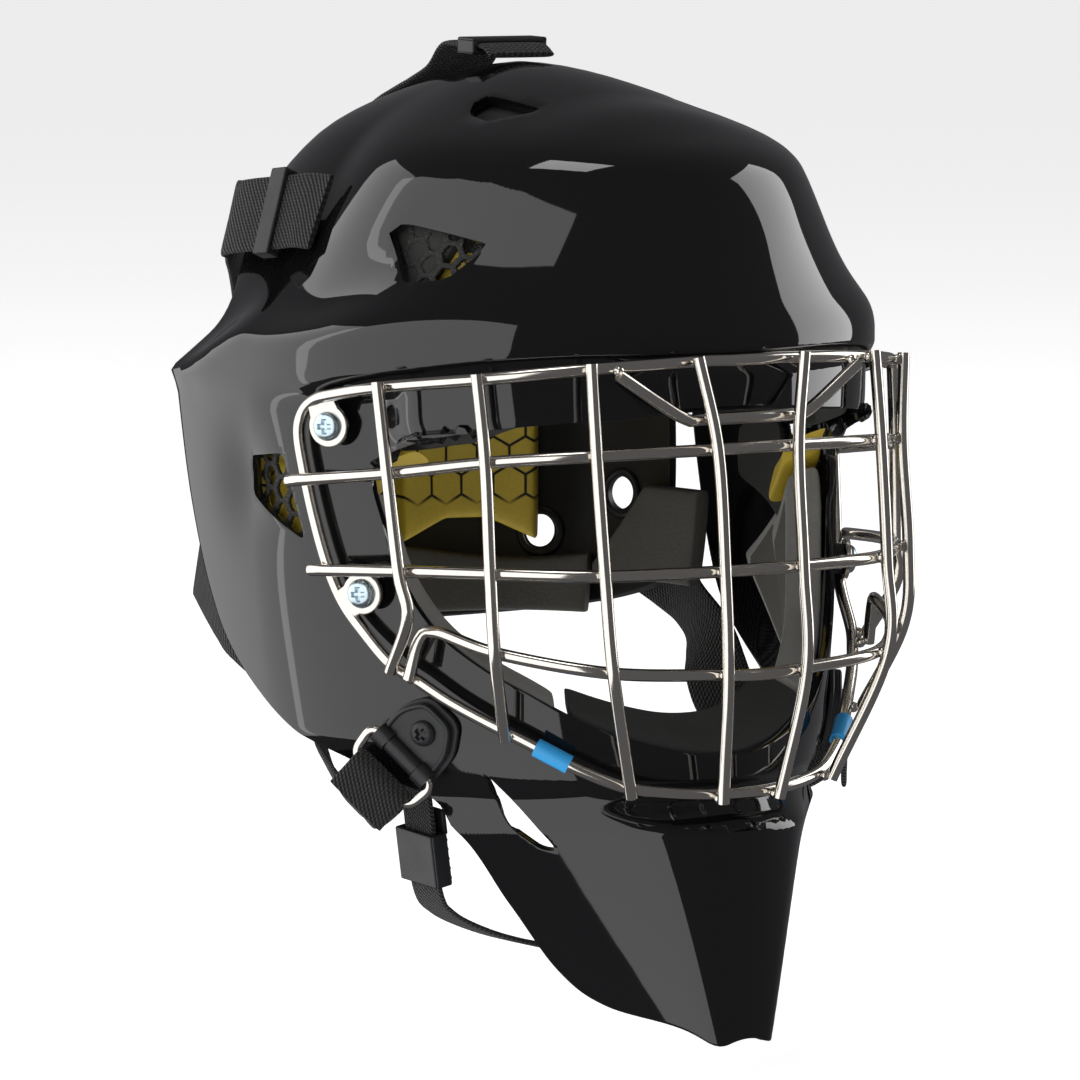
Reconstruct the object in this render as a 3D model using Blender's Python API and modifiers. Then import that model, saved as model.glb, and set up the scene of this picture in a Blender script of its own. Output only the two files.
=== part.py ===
"""Goalie mask: a glossy face-and-crown shell with a bent-wire cage, foam liner, elastic harness and backplate.

The mask faces -Y, +Z is up and +X is the wearer's left. The origin is the middle of the wearer's head, half way
between the ears. Every length below is in millimetres and becomes metres when a mesh is made.
"""

import math

import bmesh
import bpy
import numpy as np
from mathutils import Matrix, Vector

MM = 0.001
GAP = 0.3  # clearance between neighbouring pieces

# Shell
SHELL_HALF_WIDTH = 104.5
SHELL_FRONT = 112.0
SHELL_WALL = 3.0
CROWN_HALF_WIDTH = 88.0
CROWN_FRONT = 114.0
CROWN_REAR = 120.0
CROWN_EQUATOR = 52.0
CROWN_RISE = 101.5
CHIN_FRONT = 121.5
CHIN_TOP = -74.0
SHELL_COLUMNS = 96
SHELL_ROWS = 15

# Cage
WIRE = 3.9
WIRE_R = WIRE / 2
TAB_THICKNESS = 1.8
TAB_R = 5.4
SCREW_HEAD_R = 4.6
SPACER_R = 5.0

# Harness
WEBBING = 25.0
WEBBING_THICKNESS = 2.0
CHIN_WEBBING = 16.0
RING_WIRE_R = 1.5
BARREL_R = 3.4

# Backplate
BACK_HALF_WIDTH = 86.0
BACK_DEPTH = 98.0
BACK_WALL = 3.0
BACK_BOTTOM = -36.0
BACK_TOP = 72.0
BACK_AXIS = (0, 104, 77)
BACK_FOAM = 8.0

BLACK_GLOSS = (0.012, 0.012, 0.013)
BLACK_PLASTIC = (0.020, 0.021, 0.023)
BLACK_WEB = (0.014, 0.013, 0.013)
FOAM_GREY = (0.070, 0.068, 0.060)
FOAM_DARK = (0.018, 0.017, 0.016)
NICKEL = (0.72, 0.69, 0.62)
ZINC = (0.62, 0.70, 0.76)
YELLOW = (0.43, 0.30, 0.02)
BLUE = (0.03, 0.27, 0.60)

# Half of each edge of the shell, from the chin's middle round the wearer's right side to the top middle.
OPENING_EDGE = [
    (0, -110, -57.5), (17, -109, -57), (43, -101, -50.8), (58, -87, -40), (68, -75, -31.3),
    (77.6, -62.7, -19.2), (84.3, -54, -3), (87.5, -50.5, 12), (90, -48, 30), (84, -60, 39),
    (68, -80, 41), (50, -92, 42.5), (32, -101, 44), (16, -106, 45.5), (0, -108, 46),
]
REAR_EDGE = [
    (0, -121, -145), (14, -110, -140), (28, -84, -132), (37.5, -72, -120), (50, -65, -99),
    (66, -58, -76), (82, -34, -62), (91.5, -8, -50.5), (97, 18, -32), (100, 30, -14),
    (101, 39, 14.5), (102, 48, 55), (80, 50, 78), (52, 62, 118), (0, 68, 141),
]

# The cage's bars on the wearer's left; the other side is their mirror image.
BAR_LINES = [
    [(20.2, -122.2, 65.5), (15.3, -125.8, 37), (14.9, -129.1, 0), (14.9, -130.7, -31.5), (10.7, -122.6, -71.5)],
    [(53.9, -113.6, 64.2), (54.2, -116.8, 36.2), (53.7, -120.6, 0), (52.3, -123.0, -29.3), (38.2, -112.8, -68.8)],
    [(81.6, -92.8, 61.2), (79.7, -94.6, 34), (80.0, -97.6, 0.7), (78.3, -97.6, -24), (68.2, -88.4, -51.5)],
    [(98.9, -64.6, 57.8), (97.6, -68.0, 30), (95.7, -71.4, 0), (94.0, -73.6, -13.5), (91.6, -60.6, -31.5)],
]
UPPER_BAR = [(0, -122.2, 37.2), (15.0, -121.6, 37), (52.3, -112.9, 36.2), (76.4, -91.8, 34), (93.8, -66.2, 30),
             (105.6, -34.5, 26.3), (106.9, -27.5, 25.5)]
MIDDLE_BAR = [(0, -125.4, 0), (14.8, -124.9, 0), (52.0, -116.7, 0), (76.8, -94.9, 0.4), (92.0, -69.4, 0),
              (102.2, -40.0, -1.4), (103.4, -34.5, -1.7)]
LOWER_BAR = [(0, -127.0, -32.2), (14.8, -126.5, -31.5), (50.6, -119.2, -29.3), (75.2, -95.0, -24),
             (84.4, -75.5, -18.6), (87.2, -70.0, -21.0), (88.6, -66.2, -33.6)]
DIP_BAR = [(0, -120.9, 46.3), (17.0, -119.4, 46.3), (24.0, -118.8, 47.2), (45.5, -116.0, 60.6)]
RIM_LINE = [
    (0, -118.6, -69.6), (10.5, -118.0, -69.4), (24, -114.6, -68.4), (37.0, -108.9, -66.2), (48.3, -101.5, -61.2),
    (55.4, -95.6, -56.6), (61.9, -89.0, -52.0), (68.9, -81.4, -47.2), (77.4, -72.1, -40.8), (83.4, -64.6, -35.0),
    (88.7, -56.9, -29.6), (92.6, -47.0, -19.8), (95.6, -40.4, -11.2), (98.4, -36.2, 0), (100.6, -32.4, 14),
    (102.2, -29.4, 28), (103.2, -27.6, 40.0), (102.8, -29.4, 46.6), (101.8, -34.4, 50.6), (100.8, -41.6, 52.4),
    (95.0, -62.6, 55.9), (78.2, -90.2, 59.2), (52.1, -109.6, 62.2), (19.9, -116.5, 63.6), (0, -117.4, 64.0),
]


def cleared_scene():
    """Empties the scene and gives the collections for the parts and for the cutters."""
    for leftover in list(bpy.data.objects):
        bpy.data.objects.remove(leftover)
    parts = bpy.data.collections.new("goalie_mask")
    cutters = bpy.data.collections.new("cutters")
    bpy.context.scene.collection.children.link(parts)
    bpy.context.scene.collection.children.link(cutters)
    return parts, cutters


PARTS, CUTTERS = cleared_scene()


def material(name, colour, roughness, metallic=0.0):
    made = bpy.data.materials.new(name)
    made.use_nodes = True
    shader = made.node_tree.nodes["Principled BSDF"]
    shader.inputs["Base Color"].default_value = (*colour, 1.0)
    shader.inputs["Roughness"].default_value = roughness
    shader.inputs["Metallic"].default_value = metallic
    return made


def dressed(piece, name, colour, roughness=0.5, metallic=0.0):
    """Names a piece, gives it its own material and moves it into the parts' collection."""
    piece.name = name
    piece.data.name = name
    piece.data.materials.clear()
    piece.data.materials.append(material(name, colour, roughness, metallic))
    for collection in list(piece.users_collection):
        collection.objects.unlink(piece)
    PARTS.objects.link(piece)
    return piece


def mesh_object(points, faces):
    """A mesh from points in millimetres, its faces turned outwards."""
    mesh = bpy.data.meshes.new("piece")
    mesh.from_pydata([tuple(point) for point in np.asarray(points, float) * MM], [], faces)
    shape = bmesh.new()
    shape.from_mesh(mesh)
    bmesh.ops.recalc_face_normals(shape, faces=shape.faces)
    shape.to_mesh(mesh)
    shape.free()
    piece = bpy.data.objects.new("piece", mesh)
    bpy.context.scene.collection.objects.link(piece)
    return piece


def smooth_min(a, b, blend):
    weight = np.clip(0.5 + 0.5 * (b - a) / blend, 0, 1)
    return b + (a - b) * weight - blend * weight * (1 - weight)


def smooth_max(a, b, blend):
    return -smooth_min(-a, -b, blend)


def ramp(value, low, high):
    """0 below low, 1 above high, an even S between them."""
    part = np.clip((value - low) / (high - low), 0, 1)
    return part * part * (3 - 2 * part)


def outline(x, y, half_width, front, power, rear=240.0):
    """1 on a rounded plan outline, less inside it: a superellipse that is long and flat behind the ears."""
    depth = np.where(y < 0, y / front, y / rear)
    return (np.abs(x / half_width) ** power + np.abs(depth) ** power) ** (1 / power)


def crown_field(x, y, z):
    """Negative inside the crown: an egg that grows squarer towards the forehead, under a shallow cone."""
    plan = np.sqrt((x / CROWN_HALF_WIDTH) ** 2 + (y / np.where(y < 0, CROWN_FRONT, CROWN_REAR)) ** 2)
    height = (z - CROWN_EQUATOR) / CROWN_RISE
    power = 2.0 + 1.2 * ramp(-y, -10, 50)
    egg = ((plan**power + np.abs(height) ** power) ** (1 / power) - 1) * CROWN_HALF_WIDTH
    cone = (z - 159.3 + 36.5 * np.sqrt(plan * plan + 0.0196)) * 0.94
    return smooth_max(egg, cone, 7.0)


def chin_field(x, y, z):
    """Negative inside the chin guard: a rounded nose, two side panels that close in downwards, and a top."""
    drop = -85 - z
    corner_x = 28.6 - 0.27 * drop
    corner_y = -110.5 - 0.12 * drop
    slope = np.clip(0.82 - 0.006 * drop, 0.3, 0.95)
    side = (x - corner_x - slope * (y - corner_y)) / np.sqrt(1.09 + slope * slope)
    nose = -y - CHIN_FRONT + x * x / 84.0
    return side, smooth_max(smooth_max(nose, side, 5.0), z - CHIN_TOP, 5.0)


def face_field(x, y, z):
    """Negative inside the cheeks and brow: plan outlines that narrow downwards, roofed over by the shoulder."""
    half_width = SHELL_HALF_WIDTH - np.clip(60 - z, 0, None) ** 2 * 0.00068 - np.clip(-55 - z, 0, None) * 0.28
    front = SHELL_FRONT - np.clip(-66 - z, 0, None) * 0.6
    brow = np.maximum(ramp(z, 50, 57), ramp(z, 22, 46) * ramp(-y, 45, 70))
    sides = (outline(x, y, half_width, front, 1.75 + 0.55 * brow) - 1) * 100
    chin_side, chin = chin_field(x, y, z)
    face = smooth_min(smooth_max(sides, chin_side - 4.0, 8.0), chin, 6.0)
    lean = np.radians(38 + 24 * ramp(-y, 20, 90))
    shoulder = 68 + 6 * ramp(-y, 0, 70) - 13 * ramp(y, 5, 50)
    reach = (outline(x, y, SHELL_HALF_WIDTH, SHELL_FRONT, 2.3) - 1) * 100
    return smooth_max(face, np.sin(lean) * reach + np.cos(lean) * (z - shoulder), 4.0)


def shell_field(points):
    """Negative inside the mask's outer surface, near to millimetres from it; the cage sits in a shallow seat."""
    x = np.sqrt(points[..., 0] ** 2 + 4.0)
    y = points[..., 1]
    z = points[..., 2]
    seat = 2.5 * ramp(57 + 6 * ramp(-y, 30, 100) - z, 0, 3) * ramp(z, 20, 40) * ramp(-y, 25, 60)
    return smooth_min(crown_field(x, y, z), face_field(x, y, z), 10.0) + seat


def on_shell(directions, depth=0.0):
    """The points where rays from the origin meet the shell's surface, or the surface that lies depth inside it."""
    rays = directions / np.linalg.norm(directions, axis=-1, keepdims=True)
    near = np.full(rays.shape[:-1], 40.0)
    far = np.full(rays.shape[:-1], 240.0)
    for _ in range(30):
        middle = (near + far) / 2
        outside = shell_field(rays * middle[..., None]) > -depth
        far = np.where(outside, middle, far)
        near = np.where(outside, near, middle)
    return rays * middle[..., None]


def loop_through(half, count):
    """A closed smooth curve through a half list and its mirror image, as count points."""
    half = np.array(half, float)
    knots = np.concatenate([half * [-1, 1, 1], half[::-1][1:-1]])
    place = np.arange(count) / count * len(knots)
    start = np.floor(place).astype(int)
    part = (place - start)[:, None]
    a, b, c, d = (knots[(start + step) % len(knots)] for step in (-1, 0, 1, 2))
    bend = (-a + 3 * b - 3 * c + d) * part**3 + (2 * a - 5 * b + 4 * c - d) * part**2
    return 0.5 * (2 * b + (c - a) * part + bend)


def curve_through(knots, step):
    """An open smooth curve through the knots, with a point about every step millimetres."""
    knots = np.array(knots, float)
    padded = np.concatenate([[2 * knots[0] - knots[1]], knots, [2 * knots[-1] - knots[-2]]])
    points = []
    for a, b, c, d in zip(padded, padded[1:], padded[2:], padded[3:]):
        pieces = max(1, round(np.linalg.norm(c - b) / step))
        for part in np.arange(pieces) / pieces:
            bend = (-a + 3 * b - 3 * c + d) * part**3 + (2 * a - 5 * b + 4 * c - d) * part**2
            points.append(0.5 * (2 * b + (c - a) * part + bend))
    points.append(knots[-1])
    return np.array(points)


def whole_line(half):
    """A line listed from the middle outwards, with its mirror image in front of it."""
    half = np.array(half, float)
    return np.concatenate([(half * [-1, 1, 1])[::-1], half[1:]])


def tube(name, points, radius, colour, closed=False, roughness=0.2, metallic=1.0):
    """A round wire along a smooth line of points."""
    curve = bpy.data.curves.new(name, "CURVE")
    curve.dimensions = "3D"
    curve.bevel_depth = radius * MM
    curve.bevel_resolution = 2
    curve.use_fill_caps = not closed
    spline = curve.splines.new("POLY")
    spline.points.add(len(points) - 1)
    for knot, point in zip(spline.points, points):
        knot.co = (*(point * MM), 1.0)
    spline.use_cyclic_u = closed
    piece = bpy.data.objects.new(name, curve)
    bpy.context.scene.collection.objects.link(piece)
    return dressed(piece, name, colour, roughness, metallic)


def ribbon(points, sides, width, thickness):
    """A flat strap: a rectangle of width along sides and thickness across, carried along points."""
    points = np.array(points, float)
    sides = np.broadcast_to(np.array(sides, float), points.shape)
    along = np.gradient(points, axis=0)
    across = np.cross(along, sides)
    across /= np.linalg.norm(across, axis=1, keepdims=True)
    sides = np.cross(across, along)
    sides /= np.linalg.norm(sides, axis=1, keepdims=True)
    half_side = sides * width / 2
    half_thick = across * thickness / 2
    rings = np.stack([points - half_side - half_thick, points + half_side - half_thick,
                      points + half_side + half_thick, points - half_side + half_thick], 1)
    faces = [(0, 1, 2, 3), tuple(4 * (len(points) - 1) + k for k in (3, 2, 1, 0))]
    for ring in range(len(points) - 1):
        for k in range(4):
            here = 4 * ring
            after = (k + 1) % 4
            faces.append((here + k, here + 4 + k, here + 4 + after, here + after))
    return mesh_object(rings.reshape(-1, 3), faces)


def grid_faces(rows, columns, wrap=False):
    """The quads of a grid of points numbered row by row, its rows closed into rings if wrap is set."""
    last = columns if wrap else columns - 1
    faces = []
    for row in range(rows - 1):
        for column in range(last):
            right = (column + 1) % columns
            faces.append((row * columns + column, row * columns + right,
                          (row + 1) * columns + right, (row + 1) * columns + column))
    return faces


def bevelled(piece, width, segments=2):
    edge = piece.modifiers.new("edge", "BEVEL")
    edge.width = width * MM
    edge.segments = segments
    edge.limit_method = "ANGLE"
    return edge


def frame_at(centre, normal, up=(0, 0, 1)):
    """A placing matrix: local Z along normal, local Y as near to up as it can be."""
    z = Vector(normal).normalized()
    x = Vector(up).cross(z).normalized()
    y = z.cross(x)
    turn = Matrix((x, y, z)).transposed().to_4x4()
    return Matrix.Translation(Vector(centre) * MM) @ turn


def box(size, placing):
    """A cuboid of the given size, placed by a matrix."""
    bpy.ops.mesh.primitive_cube_add(size=1)
    piece = bpy.context.object
    piece.data.transform(Matrix.Diagonal((*(side * MM for side in size), 1)))
    piece.matrix_world = placing
    return piece


def cylinder(radius, height, placing, sides=24):
    bpy.ops.mesh.primitive_cylinder_add(radius=radius * MM, depth=height * MM, vertices=sides)
    piece = bpy.context.object
    piece.matrix_world = placing
    return piece


def cut(piece, cutter):
    """Takes a cutter away from a piece and leaves it as a hidden helper."""
    cutter.name = piece.name + "_cutter"
    for collection in list(cutter.users_collection):
        collection.objects.unlink(cutter)
    CUTTERS.objects.link(cutter)
    cutter.hide_render = True
    cutter.display_type = "WIRE"
    hole = piece.modifiers.new("hole", "BOOLEAN")
    hole.operation = "DIFFERENCE"
    hole.solver = "EXACT"
    hole.object = cutter


def hung_at(piece, point):
    """Puts a moving piece's origin on its joint's axis and leaves the piece where it is."""
    pivot = Vector(point) * MM
    piece.data.transform(Matrix.Translation(-pivot))
    piece.location = pivot
    return piece


def mirrored(point, side):
    return np.array(point, float) * [side, 1, 1]


def surface_normal(point):
    """The outward direction of the shell at a point near its surface."""
    nudges = np.eye(3) * 0.5
    slope = [shell_field(point + nudge) - shell_field(point - nudge) for nudge in nudges]
    return np.array(slope) / np.linalg.norm(slope)


SIDES = (("right", -1), ("left", 1))
VENTS = {
    "cheek_vent": [(104, 2, 31), (103, -16, 33), (99, -24, 6), (103, 2, 19)],
    "side_vent": [(79, -40, 103), (77, -46, 105), (65, -76, 99), (76, -68, 88), (83, -54, 87)],
    "chin_vent": [(66, -71, -60), (57, -77, -72), (46, -88, -87), (50, -83, -88), (59, -76, -80), (62, -72, -71)],
    "top_vent": [(45, -35, 137), (33, -23, 143), (28, -52, 139), (45, -46, 135)],
}
SCREENED = ("cheek_vent", "side_vent")


def shell():
    """The moulded shell: a ring of surface between the face opening and the rear edge, with its vents cut."""
    inner = loop_through(OPENING_EDGE, SHELL_COLUMNS)
    outer = loop_through(REAR_EDGE, SHELL_COLUMNS)
    inner /= np.linalg.norm(inner, axis=1, keepdims=True)
    outer /= np.linalg.norm(outer, axis=1, keepdims=True)
    angle = np.arccos((inner * outer).sum(1))[:, None]
    turns = [(np.sin((1 - part) * angle) * inner + np.sin(part * angle) * outer) / np.sin(angle)
             for part in np.linspace(0, 1, SHELL_ROWS)]
    rows = [on_shell(rays) for rays in turns] + [on_shell(rays, SHELL_WALL) for rays in turns[::-1]]
    faces = grid_faces(2 * SHELL_ROWS + 1, SHELL_COLUMNS, wrap=True)
    whole = 2 * SHELL_ROWS * SHELL_COLUMNS
    piece = mesh_object(np.concatenate(rows), [tuple(k % whole for k in face) for face in faces])
    dressed(piece, "shell", BLACK_GLOSS, 0.06)
    for corners in VENTS.values():
        for _, side in SIDES:
            cut(piece, vent_cutter(corners, side, 12.0))


def vent_plane(corners, side):
    """The middle and the outward normal of a vent's outline."""
    corners = np.array([mirrored(corner, side) for corner in corners])
    middle = corners.mean(0)
    return corners, middle, surface_normal(middle)


def vent_cutter(corners, side, reach):
    """A prism through the shell's wall with the vent's outline."""
    corners, _, normal = vent_plane(corners, side)
    points = np.concatenate([corners - normal * reach, corners + normal * reach])
    count = len(corners)
    faces = [tuple(range(count)), tuple(range(count, 2 * count))[::-1]]
    faces += [(k, (k + 1) % count, count + (k + 1) % count, count + k) for k in range(count)]
    return mesh_object(points, faces)


def vent_screen(kind, side_name, side):
    """A thin pierced screen set behind a vent, a little larger than it."""
    corners, middle, normal = vent_plane(VENTS[kind], side)
    grown = middle + (corners - middle) * 1.06 - normal * (SHELL_WALL + 3.2)
    points = np.concatenate([grown - normal * 0.6, grown + normal * 0.6])
    count = len(grown)
    faces = [tuple(range(count)), tuple(range(count, 2 * count))[::-1]]
    faces += [(k, (k + 1) % count, count + (k + 1) % count, count + k) for k in range(count)]
    dressed(mesh_object(points, faces), f"{kind}_screen_{side_name}", BLACK_PLASTIC, 0.6)


def patch(name, columns, rows, direction, inset, thickness, colour, roughness=0.9):
    """A foam piece under the shell: a patch of directions(u, v), inset from the shell, given a thickness."""
    u, v = np.meshgrid(np.linspace(-1, 1, columns), np.linspace(0, 1, rows))
    rays = direction(u, v)
    outer = on_shell(rays, inset)
    inner = on_shell(rays, inset + thickness)
    points = np.concatenate([outer.reshape(-1, 3), inner.reshape(-1, 3)])
    count = columns * rows
    faces = grid_faces(rows, columns)
    faces += [tuple(count + k for k in face)[::-1] for face in grid_faces(rows, columns)]
    rim = list(range(columns)) + [row * columns + columns - 1 for row in range(1, rows)]
    rim += [(rows - 1) * columns + column for column in range(columns - 2, -1, -1)]
    rim += [row * columns for row in range(rows - 2, 0, -1)]
    faces += [(a, b, count + b, count + a) for a, b in zip(rim, rim[1:] + rim[:1])]
    return dressed(mesh_object(points, faces), name, colour, roughness)


def toward(azimuth, elevation):
    """A direction by its angle from -Y towards +X, and its height angle, both in degrees."""
    azimuth = np.radians(azimuth)
    elevation = np.radians(elevation)
    return np.stack([np.sin(azimuth) * np.cos(elevation), -np.cos(azimuth) * np.cos(elevation),
                     np.sin(elevation)], -1)


def foam_liner():
    """The pads glued inside the shell."""
    patch("crown_pad", 19, 9, lambda u, v: toward(36 * u, 47 + 34 * v), 5.0, 9.0, FOAM_DARK)
    patch("brow_pad", 25, 5, lambda u, v: toward(50 * u, 29 + 8 * v), 7.5, 8.0, FOAM_DARK)
    for side_name, side in SIDES:
        patch(f"cheek_pad_{side_name}", 6, 8,
              lambda u, v, s=side: toward(s * (75 + 10 * u), -27 + 29 * v), 4.6, 12.0, FOAM_GREY)
        patch(f"temple_pad_{side_name}", 6, 4,
              lambda u, v, s=side: toward(s * (86 + 12 * u), 5 + 19 * v), 9.5, 6.0, YELLOW)
    patch("chin_pad", 15, 4, lambda u, v: toward(42 * u, -43 + 9 * v - 3 * (1 - u * u)), 6.5, 10.0, FOAM_DARK)


def cage_bars():
    """Eight upright bars in front, four cross bars behind them and the rim that they all meet."""
    for side_name, side in SIDES:
        for number, line in enumerate(BAR_LINES, 1):
            route = [mirrored(point, side) for point in line]
            tube(f"cage_bar_{side_name}_{number}", curve_through(route, 9.0), WIRE_R, NICKEL)
    for name, line in (("cage_upper_bar", UPPER_BAR), ("cage_middle_bar", MIDDLE_BAR),
                       ("cage_lower_bar", LOWER_BAR), ("cage_dip_bar", DIP_BAR)):
        tube(name, curve_through(whole_line(line), 8.0), WIRE_R, NICKEL)
    rim = loop_through(RIM_LINE, 112)
    rim = pushed_clear(rim, (0, 0, 0), 0.0, WIRE_R + 0.7, 0.2)
    tube("cage_rim", rim, WIRE_R, NICKEL, closed=True)
    return rim


TAB_POINTS = {"upper": (96.6, -37.0, 43.6), "lower": (90.6, -46.6, -8.2)}
TAB_STAND_OFF = 5.0


def cage_fixings():
    """A flat tab inside each corner of the rim, the screw through it and the spacer under it."""
    for side_name, side in SIDES:
        for level, point in TAB_POINTS.items():
            point = mirrored(point, side)
            foot = on_shell(point[None])[0]
            normal = surface_normal(foot)
            placing = frame_at(foot + normal * TAB_STAND_OFF, normal)
            tab = cylinder(TAB_R, TAB_THICKNESS, placing)
            dressed(tab, f"cage_tab_{side_name}_{level}", NICKEL, 0.25, 1.0)
            head = cylinder(SCREW_HEAD_R, 2.2, frame_at(foot + normal * (TAB_STAND_OFF + 2.3), normal))
            bevelled(head, 0.8)
            dressed(head, f"cage_screw_{side_name}_{level}", ZINC, 0.3, 1.0)
            base = 1.0
            height = TAB_STAND_OFF - TAB_THICKNESS / 2 - GAP - base
            spacer = cylinder(SPACER_R, height, frame_at(foot + normal * (base + height / 2), normal))
            dressed(spacer, f"cage_spacer_{side_name}_{level}", BLACK_PLASTIC, 0.5)


def pipe(line, outer, inner, sides=12):
    """A hollow round sleeve along a line of points."""
    along = np.gradient(line, axis=0)
    along /= np.linalg.norm(along, axis=1, keepdims=True)
    first = np.cross(along, (0.3, 0.2, 0.93))
    first /= np.linalg.norm(first, axis=1, keepdims=True)
    second = np.cross(along, first)
    turn = np.arange(sides) / sides * 2 * math.pi
    spoke = first[:, None] * np.cos(turn)[:, None] + second[:, None] * np.sin(turn)[:, None]
    rings = np.concatenate([line[:, None] + spoke * outer, (line[:, None] + spoke * inner)[::-1]])
    whole = rings.shape[0] * sides
    faces = grid_faces(rings.shape[0] + 1, sides, wrap=True)
    return mesh_object(rings.reshape(-1, 3), [tuple(k % whole for k in face) for face in faces])


def sleeves(rim):
    """A coloured sleeve round the rim on each side of the chin."""
    for side_name, side in SIDES:
        away = np.linalg.norm(rim - mirrored(RIM_LINE[5], side), axis=1)
        nearest = int(away.argmin())
        line = rim[nearest - 2:nearest + 3]
        dressed(pipe(line, WIRE_R + 1.2, WIRE_R + 0.35), f"rim_sleeve_{side_name}", BLUE, 0.45)


def unit(vector):
    vector = np.array(vector, float)
    return vector / np.linalg.norm(vector)


def pushed_clear(points, sides, width, needed, margin=0.5):
    """Moves a strap's points outwards until its whole width stands at least needed off the shell."""
    points = np.array(points, float)
    sides = np.broadcast_to(np.array(sides, float), points.shape)
    for place, (point, side) in enumerate(zip(points, sides)):
        for _ in range(60):
            probes = np.array([point + side * width / 2 * step for step in (-1, -0.5, 0, 0.5, 1)])
            if shell_field(probes).min() >= needed:
                break
            point = point + surface_normal(point) * margin
        points[place] = point
    return points


CLIP_SCREW = (77, -58, -52)
BARREL_ENDS = ((85, -44, -54), (74, -54, -67))
BARREL_REACH = 8.5
BARREL_LIFT = 4.2
CLIP_THICKNESS = 3.0
CLIP_LENGTH = 22.0
RING_LENGTH = 27.0
RING_DEPTH = 10.5
LOWER_STRAP = [(88, -37, -74), (83, -14, -67), (80, 0, -55), (82, 10, -42), (85, 22, -32), (87.5, 36, -24),
               (85.5, 50, -17), (82, 64, -10)]


def clip_axes(side):
    """The clip's foot on the shell and its three directions: along the barrel, towards it, and outwards."""
    foot = on_shell(mirrored(CLIP_SCREW, side)[None])[0]
    outward = surface_normal(foot)
    rear, front = (mirrored(end, side) for end in BARREL_ENDS)
    along = front - rear
    along = unit(along - outward * (along @ outward))
    toward_barrel = np.cross(outward, along)
    if toward_barrel @ ((rear + front) / 2 - foot) < 0:
        toward_barrel = -toward_barrel
    return foot, along, toward_barrel, outward


def clips():
    """The moulded clips at the jaw: a tapered leaf with a hinge barrel, a screw, and the ring in the barrel."""
    for side_name, side in SIDES:
        foot, along, reach, outward = clip_axes(side)
        rings = []
        for place, tip in ((-0.5, -1.5), (-0.28, -8.5), (0.28, -8.5), (0.5, -1.5)):
            profile = [(tip, 0.8), (BARREL_REACH, 0.8)]
            for angle in np.radians(np.arange(-75, 181, 15)):
                profile.append((BARREL_REACH + BARREL_R * math.cos(angle), BARREL_LIFT + BARREL_R * math.sin(angle)))
            profile.append((BARREL_REACH - BARREL_R, 0.8 + CLIP_THICKNESS + 0.2))
            profile.append((tip, 0.8 + CLIP_THICKNESS))
            rings.append([foot + along * CLIP_LENGTH * place + reach * t + outward * n for t, n in profile])
        count = len(rings[0])
        faces = [tuple(range(count)), tuple(range(3 * count, 4 * count))[::-1]]
        faces += [tuple(face) for face in grid_faces(4, count, wrap=True)]
        leaf = mesh_object(np.array(rings).reshape(-1, 3), faces)
        axis = foot + reach * BARREL_REACH + outward * BARREL_LIFT
        dressed(leaf, f"strap_clip_{side_name}", BLACK_PLASTIC, 0.35)
        cut(leaf, cylinder(RING_WIRE_R + GAP, 40, frame_at(axis, along), 16))
        head = cylinder(4.2, 2.0, frame_at(foot + outward * (0.8 + CLIP_THICKNESS + GAP + 1.0) - reach, outward))
        bevelled(head, 0.7)
        dressed(head, f"clip_screw_{side_name}", BLACK_PLASTIC, 0.3)
        drop = ring_drop(side)
        half = RING_LENGTH / 2
        corners = [(-half, 0), (half, 0), (half, RING_DEPTH), (-half, RING_DEPTH)]
        points = []
        for number, (a, b) in enumerate(corners):
            inward_a = np.sign(-a)
            inward_b = 1 if b == 0 else -1
            centre = np.array([a + inward_a * 3.2, b + inward_b * 3.2])
            start = math.radians(-135 + 90 * number - 45)
            for turn in np.linspace(0, math.pi / 2, 5):
                local = centre + 3.2 * np.array([math.cos(start + turn), math.sin(start + turn)])
                points.append(axis + along * local[0] + drop * local[1])
        hung_at(tube(f"strap_ring_{side_name}", np.array(points), RING_WIRE_R, NICKEL, closed=True), axis)


def ring_drop(side):
    """The direction in which a ring hangs from its barrel: over the shell's edge, a little outwards."""
    _, _, reach, outward = clip_axes(side)
    return unit(reach + outward * 0.22)


def lower_straps():
    """The webbing from each ring, folded round the ring's far leg, back under the ear to the backplate."""
    for side_name, side in SIDES:
        foot, along, reach, outward = clip_axes(side)
        drop = ring_drop(side)
        over = unit(np.cross(along, drop))
        if over @ outward < 0:
            over = -over
        leg = foot + reach * BARREL_REACH + outward * BARREL_LIFT + drop * RING_DEPTH
        turn = RING_WIRE_R + GAP + WEBBING_THICKNESS / 2
        points = [leg + drop * 9 + over * 2.0, leg + drop * 3 + over * 2.6]
        for angle in np.radians([90, 120, 150, 180, 210, 240, 270]):
            points.append(leg + drop * turn * math.cos(angle) + over * turn * math.sin(angle))
        points += [leg + drop * 4 - over * 2.4]
        sides = [along] * len(points)
        tail = curve_through([points[-1]] + [mirrored(point, side) for point in LOWER_STRAP], 8.0)[1:]
        for number in range(len(tail)):
            mix = min(1.0, (number + 1) / 5)
            tilt = 0.5 * (1 - ramp(tail[number][1], 5, 26))
            points.append(tail[number])
            sides.append(unit(along * (1 - mix) + unit(mirrored((-tilt, 0.0, -1.0), side)) * mix))
        piece = ribbon(points, sides, WEBBING - 3, WEBBING_THICKNESS)
        dressed(piece, f"lower_strap_{side_name}", BLACK_WEB, 0.9)


BUCKLE_TOP = (66.0, -38.5, -82.0)
BUCKLE_BOTTOM = (62.0, -37.0, -104.0)
SLING_AXIS = (0, -43, -58)


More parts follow.
